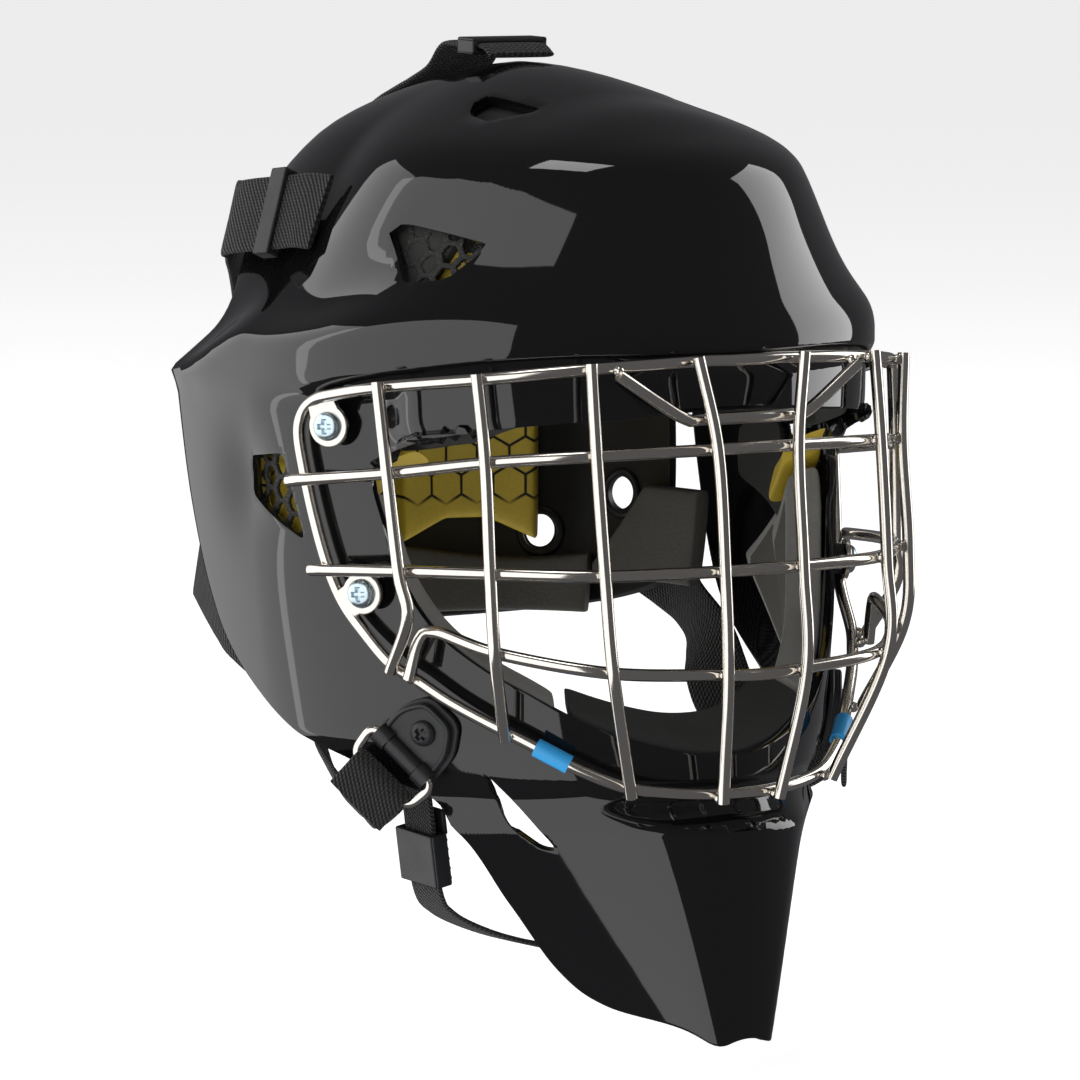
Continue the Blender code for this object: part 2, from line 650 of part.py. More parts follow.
def chin_sling():
    """The sling from inside the jaw, down through its buckle and under the wearer's chin."""
    half = [(0, -48, -126), (16, -47.5, -125.5), (32, -45.5, -122), (46, -42, -117.5), (57, -38, -111.5),
            BUCKLE_BOTTOM, BUCKLE_TOP, (69, -40.5, -68), (69.5, -43, -58)]
    points = curve_through(whole_line(half), 7.0)
    hung_at(dressed(ribbon(points, (0, 1, 0), CHIN_WEBBING, 1.8), "chin_sling", BLACK_WEB, 0.9), SLING_AXIS)
    bottom = mirrored(BUCKLE_BOTTOM, -1)
    along = unit(mirrored(BUCKLE_TOP, -1) - bottom)
    slider("chin_buckle", bottom + along * 11, along, (0, 1, 0), CHIN_WEBBING, 1.8, 12.0)


def slider(name, centre, along, side, width, thickness, length, wall=2.0):
    """A moulded slider round a straight stretch of strap."""
    across = unit(np.cross(along, side))
    placing = frame_at(centre, across, along)
    body = box((width + 2 * wall + 1.6, length, thickness + 2 * (GAP + wall * 0.55)), placing)
    bevelled(body, 0.7)
    dressed(body, name, BLACK_PLASTIC, 0.4)
    cut(body, box((width + 2 * GAP, length + 4, thickness + 2 * GAP), placing))


CROWN_SLIDER_ENDS = ((0, 5, 156.6), (0, 26, 157.4))
CROWN_SLIDER_PLACE = 0.31  # where the slider sits between those ends
CROWN_STRAP = [(0, 30, 155.6), (0, 36, 149.8), (0, 46, 145.5), (0, 58, 141.2), (0, 70, 136), (0, 84, 125),
               (0, 96, 108), (0, 104, 90), (0, 108.2, 72), (0, 108.2, 52)]
SIDE_SLIDER = (83.2, 16.5, 105.5)
SIDE_STRAP_DIRECTION = (0.16, 0.97, -0.1)
SIDE_STRAP = [(85.5, 38, 103), (81, 43.5, 102), (74, 54, 99), (66, 65, 95), (58, 77, 90), (50, 89.5, 84),
              (41.5, 102, 77), (33, 106.2, 68), (28, 107.6, 58)]


def upper_straps():
    """The crown strap over the middle and the two side straps, each through a slider to the backplate."""
    start, end = (np.array(point, float) for point in CROWN_SLIDER_ENDS)
    route = np.concatenate([[(0, 0.5, 153.9)], np.linspace(start, end, 4),
                            curve_through([end] + CROWN_STRAP, 8.0)[1:]])
    over_shell = route[:, 1] < 62
    route[over_shell] = pushed_clear(route[over_shell], (1, 0, 0), WEBBING, 1.5)
    dressed(ribbon(route, (1, 0, 0), WEBBING, WEBBING_THICKNESS), "crown_strap", BLACK_WEB, 0.9)
    along = unit(end - start)
    centre = start + (end - start) * CROWN_SLIDER_PLACE
    slider("crown_slider", centre, along, (1, 0, 0), WEBBING, WEBBING_THICKNESS, 9.0)
    for side_name, side in SIDES:
        centre = mirrored(SIDE_SLIDER, side)
        along = unit(mirrored(SIDE_STRAP_DIRECTION, side))
        edge = mirrored((0.38, 0.0, -0.92), side)
        edge = unit(edge - along * (edge @ along))
        straight = [centre + along * step for step in (-13, -6, 0, 7, 14)]
        lead = [mirrored((79.5, -4, 106.5), side)]
        trail = curve_through([straight[-1]] + [mirrored(point, side) for point in SIDE_STRAP], 8.0)[1:]
        route = np.concatenate([lead, straight, trail])
        last = unit(mirrored((0.1, 0.0, -1.0), side))
        mix = ramp(np.arange(len(route)) / len(route), 0.5, 0.85)[:, None]
        sides = edge * (1 - mix) + last * mix
        sides /= np.linalg.norm(sides, axis=1, keepdims=True)
        route[:len(lead)] = pushed_clear(route[:len(lead)], sides[:len(lead)], WEBBING, 1.5)
        dressed(ribbon(route, sides, WEBBING, WEBBING_THICKNESS), f"side_strap_{side_name}", BLACK_WEB, 0.9)
        slider(f"side_slider_{side_name}", centre, along, edge, WEBBING, WEBBING_THICKNESS, 7.0)


BACK_HOLES = (((68, 86, -8), 5.5), ((82, 57, 6), 5.5))


def back_surface(turn, height, inset=0.0):
    """The backplate's outer face by plan angle from +Y in degrees and height, moved inwards by inset."""
    angle = np.radians(turn)
    half_width = BACK_HALF_WIDTH - inset
    depth = BACK_DEPTH - inset
    rise = (height - 18) / 60
    bulge = 1 - np.where(rise < 0, 0.12, 0.05) * rise * rise
    reach = bulge / (np.abs(np.sin(angle) / half_width) ** 3 + np.abs(np.cos(angle) / depth) ** 3) ** (1 / 3)
    return np.stack([reach * np.sin(angle), 6 + reach * np.cos(angle), height], -1)


def back_piece(name, turns, low, high, inset, thickness, colour, columns, rows, roughness=0.5):
    """A curved slab of the backplate: low and high give its bottom and top heights at each plan angle."""
    across = np.linspace(0, 1, columns)
    turn = np.interp(across, (0, 1), turns)
    u, v = np.meshgrid(turn, np.linspace(0, 1, rows))
    height = low(u) + (high(u) - low(u)) * v
    points = np.concatenate([back_surface(u, height, inset).reshape(-1, 3),
                             back_surface(u, height, inset + thickness).reshape(-1, 3)])
    count = columns * rows
    faces = grid_faces(rows, columns)
    faces += [tuple(count + k for k in face)[::-1] for face in grid_faces(rows, columns)]
    rim = list(range(columns)) + [row * columns + columns - 1 for row in range(1, rows)]
    rim += [(rows - 1) * columns + column for column in range(columns - 2, -1, -1)]
    rim += [row * columns for row in range(rows - 2, 0, -1)]
    faces += [(a, b, count + b, count + a) for a, b in zip(rim, rim[1:] + rim[:1])]
    return dressed(mesh_object(points, faces), name, colour, roughness)


def backplate():
    """The plate behind the head with its four vent holes, its foam lining and two raised pads."""
    plate_piece = back_piece("backplate", (-72, 72), lambda t: BACK_BOTTOM + 14 * np.abs(t / 72) ** 3,
                             lambda t: BACK_TOP - 40 * np.abs(t / 72) ** 1.4, 0, BACK_WALL, BLACK_PLASTIC, 37, 9)
    for point, radius in BACK_HOLES:
        for _, side in SIDES:
            middle = mirrored(point, side)
            normal = unit((middle[0], middle[1] - 6, 0))
            cut(plate_piece, cylinder(radius, 24, frame_at(middle, normal), 20))
    hung_at(plate_piece, BACK_AXIS)
    inset = BACK_WALL + GAP
    lining = back_piece("back_foam", (-44, 44), lambda t: -33 + 0 * t, lambda t: 60 - 18 * np.abs(t / 44) ** 2,
                        inset, BACK_FOAM, FOAM_GREY, 25, 6, 0.9)
    hung_at(lining, BACK_AXIS)
    inset += BACK_FOAM + GAP
    for side_name, side in SIDES:
        turns = (side * 7, side * 39)
        pad = back_piece(f"back_pad_{side_name}", turns, lambda t: -9 + 0 * t,
                         lambda t: 44 - 6 * np.abs(t / 44) ** 2, inset, 9.0, YELLOW, 8, 5, 0.8)
        hung_at(pad, BACK_AXIS)


def build():
    shell()
    foam_liner()
    for kind in SCREENED:
        for side_name, side in SIDES:
            vent_screen(kind, side_name, side)
    rim = cage_bars()
    cage_fixings()
    sleeves(rim)
    clips()
    lower_straps()
    chin_sling()
    upper_straps()
    backplate()


build()
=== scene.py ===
"""The goalie mask's looks: glossy shell, nickel cage, foam liner and woven harness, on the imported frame.

Lengths are in millimetres and become metres when a mesh is made. The mask faces -Y, +Z is up, and +X is the
wearer's left.
"""

import math

import bmesh
import bpy
import numpy as np
from mathutils import Matrix, Vector


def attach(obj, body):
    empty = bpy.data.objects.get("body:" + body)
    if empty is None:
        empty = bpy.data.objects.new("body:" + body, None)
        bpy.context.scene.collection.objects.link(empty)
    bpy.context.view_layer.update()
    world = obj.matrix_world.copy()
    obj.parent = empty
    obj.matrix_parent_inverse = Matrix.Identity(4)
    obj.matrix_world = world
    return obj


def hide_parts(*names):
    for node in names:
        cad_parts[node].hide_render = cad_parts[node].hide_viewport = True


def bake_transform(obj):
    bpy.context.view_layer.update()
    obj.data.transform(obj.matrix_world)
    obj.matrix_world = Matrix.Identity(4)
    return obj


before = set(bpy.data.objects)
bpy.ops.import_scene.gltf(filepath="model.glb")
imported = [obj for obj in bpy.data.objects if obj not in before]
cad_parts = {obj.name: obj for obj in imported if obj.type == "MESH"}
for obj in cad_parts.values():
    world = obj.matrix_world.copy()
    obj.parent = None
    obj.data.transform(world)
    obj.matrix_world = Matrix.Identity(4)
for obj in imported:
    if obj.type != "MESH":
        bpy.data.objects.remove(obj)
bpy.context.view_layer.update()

MM = 0.001
SIDES = (("right", -1), ("left", 1))

# Camera: the direction it stands in, its own right, how far off it is, its shift right and up, and its lens
CAMERA_FROM = np.array([-0.5709, -0.8154, 0.0958])
CAMERA_RIGHT = np.array([0.8192, -0.5736, 0.0])
CAMERA_DISTANCE = 2240.0
CAMERA_SHIFT = (5.44, -0.96)
CAMERA_LENS = 233.33
SENSOR = 36.0
FLOOR_HEIGHT = -0.160  # metres, just under the chin

# Shell
HALF_WIDTH = 104.5
FRONT = 112.0
WALL = 3.0
GRID_ROUND = 336  # points of its grid round the face opening
GRID_ACROSS = 130  # and from the face opening to the rear edge
SEARCH = (36.0, 201.0)  # where the surface is looked for along a ray from the origin
MARCH = 3.0  # step of that search
FAR_OFF = 50.0  # stands for any distance from an outline that is too large to matter

# Foam
PAD_EDGE = 9.0  # power of a slab's rounded edge
EDGE_FULLNESS = 0.965  # below it a face counts as part of the cut edge
SCREEN_PITCH = (7.0, 8.0)  # columns and rows of the holes in a vent's screen

# Cage
WIRE_R = 1.95
WIRE_STEP = 2.5
WELD_R = 1.75
WELD_GAP = 5.2  # wires whose lines come closer than this are welded
TAB_POINTS = {"upper": (96.6, -37.0, 43.6), "lower": (90.6, -46.6, -8.2)}
TAB_STAND_OFF = 5.0
NICKEL = (0.80, 0.755, 0.69)

# Jaw fixings
CLIP_SCREW = (77, -58, -52)
BARREL_ENDS = ((85, -44, -54), (74, -54, -67))
BARREL_REACH = 8.5
BARREL_LIFT = 4.2
LEAF_CORNERS = ((-10.6, 9.5), (10.6, 9.5), (10.6, -1.0), (5.5, -9.5), (-6.0, -9.5), (-10.6, -1.5))
RING_LENGTH = 27.0
RING_DEPTH = 10.5

# Harness
WEBBING = 25.0
JAW_WEBBING = 22.0
CHIN_WEBBING = 16.0
WEBBING_THICKNESS = 2.0
RIBBON_ROUND = 24  # points round a strap's section
STRAP_STEP = 8.0
LOWER_STRAP = [(88, -37, -74), (83, -14, -67), (80, 0, -55), (82, 10, -42), (85, 22, -32), (87.5, 36, -24),
               (85.5, 50, -17), (82, 64, -10)]
BUCKLE_TOP = (66.0, -38.5, -82.0)
BUCKLE_BOTTOM = (62.0, -37.0, -104.0)
CROWN_SLIDER_ENDS = ((0, 5, 156.6), (0, 26, 157.4))
CROWN_SLIDER_PLACE = 0.31
CROWN_STRAP = [(0, 30, 155.6), (0, 36, 149.8), (0, 46, 145.5), (0, 58, 141.2), (0, 70, 136), (0, 84, 125),
               (0, 96, 108), (0, 104, 90), (0, 108.2, 72), (0, 108.2, 52)]
SIDE_SLIDER = (83.2, 16.5, 105.5)
SIDE_STRAP_DIRECTION = (0.16, 0.97, -0.1)
SIDE_STRAP = [(85.5, 38, 103), (81, 43.5, 102), (74, 54, 99), (66, 65, 95), (58, 77, 90), (50, 89.5, 84),
              (41.5, 102, 77), (33, 106.2, 68), (28, 107.6, 58)]

# Backplate: half its width in degrees of plan angle, its plan, its wall, and its vent holes with their radii
BACK_TURN = 72
BACK_CENTRE = 6.0
BACK_HALF_WIDTH = 86.0
BACK_DEPTH = 98.0
BACK_WALL = 3.0
BACK_GRID = (220, 90)
BACK_HOLES = (((68, 86, -8), 5.5), ((82, 57, 6), 5.5))

# The wearer's-left halves of the face opening and the shell's rear edge, from the chin to the top
OPENING_EDGE = [
    (0, -110, -57.5), (17, -109, -57), (43, -101, -50.8), (58, -87, -40), (68, -75, -31.3),
    (77.6, -62.7, -19.2), (84.3, -54, -3), (87.5, -50.5, 12), (90, -48, 30), (84, -60, 39),
    (68, -80, 41), (50, -92, 42.5), (32, -101, 44), (16, -106, 45.5), (0, -108, 46),
]
REAR_EDGE = [
    (0, -121, -145), (14, -110, -140), (28, -84, -132), (37.5, -72, -120), (50, -65, -99),
    (66, -58, -76), (82, -34, -62), (91.5, -8, -50.5), (97, 18, -32), (100, 30, -14),
    (101, 39, 14.5), (102, 48, 55), (80, 50, 78), (52, 62, 118), (0, 68, 141),
]
ROUND = 2 * (len(OPENING_EDGE) - 1)  # edge points right round

# The cage's wires, each on the wearer's left or as the half from the middle to the left
BAR_LINES = [
    [(20.2, -122.2, 65.5), (15.3, -125.8, 37), (14.9, -129.1, 0), (14.9, -130.7, -31.5),
     (10.7, -122.6, -71.5)],
    [(53.9, -113.6, 64.2), (54.2, -116.8, 36.2), (53.7, -120.6, 0), (52.3, -123.0, -29.3),
     (38.2, -112.8, -68.8)],
    [(81.6, -92.8, 61.2), (79.7, -94.6, 34), (80.0, -97.6, 0.7), (78.3, -97.6, -24), (68.2, -88.4, -51.5)],
    [(98.9, -64.6, 57.8), (97.6, -68.0, 30), (95.7, -71.4, 0), (94.0, -73.6, -13.5), (91.6, -60.6, -31.5)],
]
UPPER_BAR = [(0, -122.2, 37.2), (15.0, -121.6, 37), (52.3, -112.9, 36.2), (76.4, -91.8, 34),
             (93.8, -66.2, 30), (105.6, -34.5, 26.3), (106.9, -27.5, 25.5)]
MIDDLE_BAR = [(0, -125.4, 0), (14.8, -124.9, 0), (52.0, -116.7, 0), (76.8, -94.9, 0.4), (92.0, -69.4, 0),
              (102.2, -40.0, -1.4), (103.4, -34.5, -1.7)]
LOWER_BAR = [(0, -127.0, -32.2), (14.8, -126.5, -31.5), (50.6, -119.2, -29.3), (75.2, -95.0, -24),
             (84.4, -75.5, -18.6), (87.2, -70.0, -21.0), (88.6, -66.2, -33.6)]
DIP_BAR = [(0, -120.9, 46.3), (17.0, -119.4, 46.3), (24.0, -118.8, 47.2), (45.5, -116.0, 60.6)]
RIM_LINE = [
    (0, -118.6, -69.6), (10.5, -118.0, -69.4), (24, -114.6, -68.4), (37.0, -108.9, -66.2),
    (48.3, -101.5, -61.2), (55.4, -95.6, -56.6), (61.9, -89.0, -52.0), (68.9, -81.4, -47.2),
    (77.4, -72.1, -40.8), (83.4, -64.6, -35.0), (88.7, -56.9, -29.6), (92.6, -47.0, -19.8),
    (95.6, -40.4, -11.2), (98.4, -36.2, 0), (100.6, -32.4, 14), (102.2, -29.4, 28), (103.2, -27.6, 40.0),
    (102.8, -29.4, 46.6), (101.8, -34.4, 50.6), (100.8, -41.6, 52.4), (95.0, -62.6, 55.9),
    (78.2, -90.2, 59.2), (52.1, -109.6, 62.2), (19.9, -116.5, 63.6), (0, -117.4, 64.0),
]
# Corners of the vents on the wearer's left
VENTS = {
    "cheek_vent": [(104, 2, 31), (103, -16, 33), (99, -24, 6), (103, 2, 19)],
    "side_vent": [(79, -40, 103), (77, -46, 105), (65, -76, 99), (76, -68, 88), (83, -54, 87)],
    "chin_vent": [(66, -71, -60), (57, -77, -72), (46, -88, -87), (50, -83, -88), (59, -76, -80),
                  (62, -72, -71)],
    "top_vent": [(45, -35, 137), (33, -23, 143), (28, -52, 139), (45, -46, 135)],
}


# ---- Materials ----

class Look:
    """A material built from a Principled shader, with a short way to add nodes and arithmetic to it."""

    def __init__(self, name, colour, roughness, metallic=0.0, **inputs):
        self.material = bpy.data.materials.new(name)
        self.material.use_nodes = True
        self.tree = self.material.node_tree
        self.shader = self.tree.nodes["Principled BSDF"]
        self.feed(self.shader.inputs["Base Color"], (*colour, 1.0))
        self.feed(self.shader.inputs["Roughness"], roughness)
        self.feed(self.shader.inputs["Metallic"], metallic)
        for socket, value in inputs.items():
            self.feed(self.shader.inputs[socket.replace("_", " ")], value)

    def feed(self, socket, value):
        """Links a number from the tree to a socket, or sets a plain value on it."""
        if isinstance(value, Number):
            self.tree.links.new(value.socket, socket)
        else:
            socket.default_value = value

    def node(self, kind, output, settings=None, **inputs):
        """Adds a node and gives one of its outputs; an input is named by its label or as i0, i1, i2."""
        made = self.tree.nodes.new(kind)
        for key, value in (settings or {}).items():
            setattr(made, key, value)
        for key, value in inputs.items():
            index = int(key[1:]) if key[0] == "i" and key[1:].isdigit() else key.replace("_", " ")
            self.feed(made.inputs[index], value)
        return Number(self, made.outputs[output])

    def place(self, kind="Object"):
        return self.node("ShaderNodeTexCoord", kind)

    def noise(self, vector, scale, detail=2.0, roughness=0.5):
        """Soft noise from 0 to 1, with scale in features per metre."""
        return self.node("ShaderNodeTexNoise", "Fac", Vector=vector, Scale=scale, Detail=detail,
                         Roughness=roughness)

    def split(self, vector):
        """The three components of a vector."""
        made = self.tree.nodes.new("ShaderNodeSeparateXYZ")
        self.feed(made.inputs[0], vector)
        return [Number(self, output) for output in made.outputs]

    def mix(self, amount, a, b):
        """A colour between a and b."""
        made = self.tree.nodes.new("ShaderNodeMix")
        made.data_type = "RGBA"
        self.feed(made.inputs[0], amount)
        self.feed(made.inputs[6], (*a, 1.0) if isinstance(a, tuple) else a)
        self.feed(made.inputs[7], (*b, 1.0) if isinstance(b, tuple) else b)
        return Number(self, made.outputs[2])

    def colour(self, value):
        self.feed(self.shader.inputs["Base Color"], value)

    def rough(self, value):
        self.feed(self.shader.inputs["Roughness"], value)

    def bump(self, height, distance, strength=1.0):
        """Raises the surface by height times distance, in metres."""
        self.feed(self.shader.inputs["Normal"], self.node("ShaderNodeBump", "Normal", Height=height,
                                                          Distance=distance, Strength=strength))


class Number:
    """A socket's value in a look's node tree; the signs of plain arithmetic add Math nodes."""

    def __init__(self, look, socket):
        self.look = look
        self.socket = socket

    def maths(self, operation, *others):
        made = self.look.tree.nodes.new("ShaderNodeMath")
        made.operation = operation
        for place, value in enumerate((self, *others)):
            self.look.feed(made.inputs[place], value)
        return Number(self.look, made.outputs[0])

    def __add__(self, other):
        return self.maths("ADD", other)

    def __radd__(self, other):
        return self.maths("ADD", other)

    def __sub__(self, other):
        return self.maths("SUBTRACT", other)

    def __rsub__(self, other):
        return (self * -1.0).maths("ADD", other)

    def __mul__(self, other):
        return self.maths("MULTIPLY", other)

    def __rmul__(self, other):
        return self.maths("MULTIPLY", other)

    def sine(self):
        return self.maths("SINE")

    def least(self, other):
        return self.maths("MINIMUM", other)

    def most(self, other):
        return self.maths("MAXIMUM", other)

    def size(self):
        return self.maths("ABSOLUTE")

    def ramp(self, low, high):
        """0 at low and below, 1 at high and above."""
        made = self.look.tree.nodes.new("ShaderNodeMapRange")
        made.interpolation_type = "SMOOTHSTEP"
        for place, value in enumerate((self, low, high, 0.0, 1.0)):
            self.look.feed(made.inputs[place], value)
        return Number(self.look, made.outputs[0])


def gloss_black():
    """High-gloss black moulding with a trace of orange peel."""
    look = Look("gloss_black", (0.0045, 0.0045, 0.005), 0.035, Coat_Weight=0.35, Coat_Roughness=0.02)
    place = look.place()
    look.bump(look.noise(place, 45.0, 1.0), 0.00010, 0.5)
    return look.material


def foam(name, colour, light=1.0, grain=0.00025):
    """Closed-cell foam: a fine grain with scattered pores."""
    look = Look(name, colour, 0.85)
    place = look.place()
    fine = look.noise(place, 900.0, 3.0, 0.6)
    broad = look.noise(place, 60.0, 2.0)
    tint = (fine - 0.5) * 0.35 + (broad - 0.5) * 0.25 + 0.5
    dark = tuple(part * 0.72 * light for part in colour)
    pale = tuple(part * 1.3 * light for part in colour)
    look.colour(look.mix(tint, dark, pale))
    look.bump(fine, grain)
    return look.material


def yellow_foam():
    """Yellow pad with thin dark lines along the edges of hexagons, which are 11 mm across."""
    look = Look("yellow_foam", (0.50, 0.36, 0.03), 0.5)
    u, v, _ = look.split(look.place("UV"))
    edge = hexagon_edge(look, u, v, 11.0)
    line = (1.0 - edge.ramp(0.3, 0.55)) * v.ramp(2.0, 6.0) * (1.0 - v.ramp(30.0, 34.0))
    grain = look.noise(look.place(), 700.0, 2.0)
    yellow = look.mix(grain, (0.46, 0.33, 0.025), (0.58, 0.42, 0.04))
    look.colour(look.mix(line, yellow, (0.012, 0.011, 0.008)))
    look.bump(1.0 - line + grain * 0.15, 0.0003)
    return look.material


def hexagon_edge(look, u, v, size):
    """How far a point is from the nearest edge of a honeycomb, in the units of u and v."""
    nearest = None
    for shift in (0.0, 0.5):
        a = (u * (1 / size) + shift).maths("FRACT") - 0.5
        b = ((v * (1 / (size * 1.7320508)) + shift).maths("FRACT") - 0.5) * 1.7320508
        reach = a.size().most(a.size() * 0.5 + b.size() * 0.8660254)
        nearest = reach if nearest is None else nearest.least(reach)
    return (0.5 - nearest) * size


def nickel(name="nickel", roughness=0.13):
    """Warm bright nickel plating with slight streaks."""
    look = Look(name, NICKEL, roughness, 1.0)
    look.rough(look.noise(look.place(), 160.0, 2.0) * 0.10 + (roughness - 0.05))
    return look.material


def zinc():
    """Bluish zinc plating of the cage's screws, a little uneven."""
    look = Look("zinc", (0.62, 0.74, 0.80), 0.28, 1.0)
    look.rough(look.noise(look.place(), 400.0, 2.0) * 0.2 + 0.18)
    return look.material


def moulded_black():
    """Black moulded plastic with a fine spark-eroded grain."""
    look = Look("moulded_black", (0.014, 0.0145, 0.016), 0.42)
    look.bump(look.noise(look.place(), 1500.0, 2.0), 0.00008)
    look.rough(look.noise(look.place(), 120.0, 1.0) * 0.14 + 0.34)
    return look.material


def webbing():
    """Black elastic webbing: short slanted ribs in rows along it, with u across it and v along it in mm."""
    look = Look("webbing", (0.009, 0.0085, 0.0085), 0.8, Sheen_Weight=0.15, Sheen_Roughness=0.4)
    u, v, _ = look.split(look.place("UV"))
    row = (u * (math.pi / 1.1)).sine()
    thread = (v * (2 * math.pi / 1.5) + u * (math.pi / 1.1)).sine()
    weave = row.size() * 0.6 + thread * 0.4
    look.bump(weave + look.noise(look.place(), 1200.0, 2.0) * 0.4, 0.0006)
    # Painted shade and sheen: the colour is darker in the grooves between the ribs and paler on their crests,
    # following the same relief as the bump.
    look.colour(look.mix(weave.ramp(-0.2, 1.0), (0.004, 0.004, 0.004), (0.024, 0.023, 0.022)))
    return look.material


def sleeve_blue():
    """Blue plastic of the rim's sleeves."""
    look = Look("sleeve_blue", (0.03, 0.33, 0.70), 0.38)
    look.rough(look.noise(look.place(), 200.0, 1.0) * 0.1 + 0.33)
    return look.material


def screen_grey():
    """The grey screens behind the vents, speckled."""
    look = Look("screen_grey", (0.05, 0.05, 0.048), 0.8)
    speck = look.noise(look.place(), 1800.0, 3.0).ramp(0.5, 0.7)
    look.colour(look.mix(speck, (0.022, 0.022, 0.021), (0.10, 0.10, 0.095)))
    look.bump(speck, 0.0002)
    return look.material


LOOKS = {
    "shell": gloss_black(), "dark_foam": foam("dark_foam", (0.030, 0.0295, 0.028)),
    "grey_foam": foam("grey_foam", (0.085, 0.082, 0.073)), "cut_foam": foam("cut_foam", (0.26, 0.255, 0.24)),
    "yellow": yellow_foam(), "nickel": nickel(), "zinc": zinc(), "plastic": moulded_black(),
    "webbing": webbing(), "sleeve": sleeve_blue(), "screen": screen_grey(),
}


# ---- Shape of the shell ----

def smooth_min(a, b, blend):
    weight = np.clip(0.5 + 0.5 * (b - a) / blend, 0, 1)
    return b + (a - b) * weight - blend * weight * (1 - weight)


def smooth_max(a, b, blend):
    return -smooth_min(-a, -b, blend)


def ramp(value, low, high):
    """0 below low, 1 above high, an even S between them."""
    part = np.clip((value - low) / (high - low), 0, 1)
    return part * part * (3 - 2 * part)


def outline(x, y, half_width, front, power, rear=240.0):
    """1 on a rounded plan outline, less inside it: a superellipse that is long and flat behind the ears."""
    depth = np.where(y < 0, y / front, y / rear)
    return (np.abs(x / half_width) ** power + np.abs(depth) ** power) ** (1 / power)


def crown_field(x, y, z):
    """Negative inside the crown: an egg that grows squarer towards the forehead, under a shallow cone."""
    plan = np.sqrt((x / 88.0) ** 2 + (y / np.where(y < 0, 114.0, 120.0)) ** 2)
    height = (z - 52.0) / 101.5
    power = 2.0 + 1.2 * ramp(-y, -10, 50)
    egg = ((plan**power + np.abs(height) ** power) ** (1 / power) - 1) * 88.0
    cone = (z - 159.3 + 36.5 * np.sqrt(plan * plan + 0.0196)) * 0.94
    return smooth_max(egg, cone, 7.0)


def chin_field(x, y, z):
    """Negative inside the chin guard: a rounded nose and two side panels that close in downwards.

    rise makes all of it fade upwards. The first value is the side panels alone, the second the whole guard.
    """
    drop = -85 - z
    rise = np.clip(z + 81, 0, None)
    corner_x = 28.6 - 0.27 * drop
    corner_y = -110.5 - 0.12 * drop
    slope = np.clip(0.82 - 0.006 * drop, 0.3, 0.95)
    side = (x - corner_x - slope * (y - corner_y)) / np.sqrt(1.09 + slope * slope)
    nose = -y - 121.5 + x * x / 84.0
    return side, smooth_max(nose + 1.1 * rise, side + 0.5 * rise, 3.0)


def face_field(x, y, z):
    """Negative inside the cheeks and brow: plan outlines that narrow downwards, under a sloping shoulder."""
    half_width = HALF_WIDTH - np.clip(60 - z, 0, None) ** 2 * 0.00068 - np.clip(-55 - z, 0, None) * 0.28
    front = FRONT - np.clip(-66 - z, 0, None) * 0.6
    brow = np.maximum(ramp(z, 50, 57), ramp(z, 22, 46) * ramp(-y, 45, 70))
    sides = (outline(x, y, half_width, front, 1.75 + 0.55 * brow) - 1) * 100
    chin_side, chin = chin_field(x, y, z)
    face = smooth_min(smooth_max(sides, chin_side - 4.0, 5.0), chin, 4.0)
    lean = np.radians(38 + 24 * ramp(-y, 20, 90))
    shoulder = 68 + 6 * ramp(-y, 0, 70) - 13 * ramp(y, 5, 50)
    reach = (outline(x, y, HALF_WIDTH, FRONT, 2.3) - 1) * 100
    return smooth_max(face, np.sin(lean) * reach + np.cos(lean) * (z - shoulder), 3.0)


def shell_field(points):
    """Negative inside the mask's outer surface and near to millimetres from it.

    The crown and the face are joined softly, and a seat for the cage and a dish at the ear are taken off.
    """
    x = np.sqrt(points[..., 0] ** 2 + 4.0)
    y = points[..., 1]
    z = points[..., 2]
    seat = 2.5 * ramp(58 + 6 * ramp(-y, 30, 100) - z, -2, 5) * ramp(z, 20, 40) * ramp(-y, 25, 60)
    dish = 2.6 * np.exp(-((y - 3) / 13) ** 2 - ((z - 24) / 15) ** 2) * (x > 60)
    return smooth_min(crown_field(x, y, z), face_field(x, y, z), 8.0) + seat + dish


def on_shell(directions, depth=0.0):
    """The outermost points where rays from the origin meet the surface that lies depth inside the shell's."""
    rays = directions / np.linalg.norm(directions, axis=-1, keepdims=True)
    near = np.full(rays.shape[:-1], SEARCH[0])
    for reach in np.arange(SEARCH[0] + MARCH, SEARCH[1], MARCH):
        inside = shell_field(rays * reach) < -depth
        near = np.where(inside, reach, near)
    far = near + MARCH
    for _ in range(12):
        middle = (near + far) / 2
        outside = shell_field(rays * middle[..., None]) > -depth
        far = np.where(outside, middle, far)
        near = np.where(outside, near, middle)
    return rays * middle[..., None]


def surface_normal(point):
    """The outward direction of the shell at a point near its surface."""
    nudges = np.eye(3) * 0.5
    slope = [shell_field(point + nudge) - shell_field(point - nudge) for nudge in nudges]
    return np.array(slope) / np.linalg.norm(slope)


def spline(knots, place, closed):
    """Catmull-Rom points at fractional places along a list of knots."""
    knots = np.array(knots, float)
    start = np.floor(place).astype(int)
    part = (place - start)[:, None]
    if closed:
        a, b, c, d = (knots[(start + step) % len(knots)] for step in (-1, 0, 1, 2))
    else:
        knots = np.concatenate([[2 * knots[0] - knots[1]], knots, [2 * knots[-1] - knots[-2]]])
        start = np.minimum(start, len(knots) - 4)
        part = (place - start)[:, None]
        a, b, c, d = (knots[start + step] for step in (0, 1, 2, 3))
    bend = (-a + 3 * b - 3 * c + d) * part**3 + (2 * a - 5 * b + 4 * c - d) * part**2
    return 0.5 * (2 * b + (c - a) * part + bend)


def mirrored_loop(half):
    """A closed line from its wearer's-left half: the right side first, from the half's first point."""
    half = np.array(half, float)
    return np.concatenate([half * [-1, 1, 1], half[::-1][1:-1]])


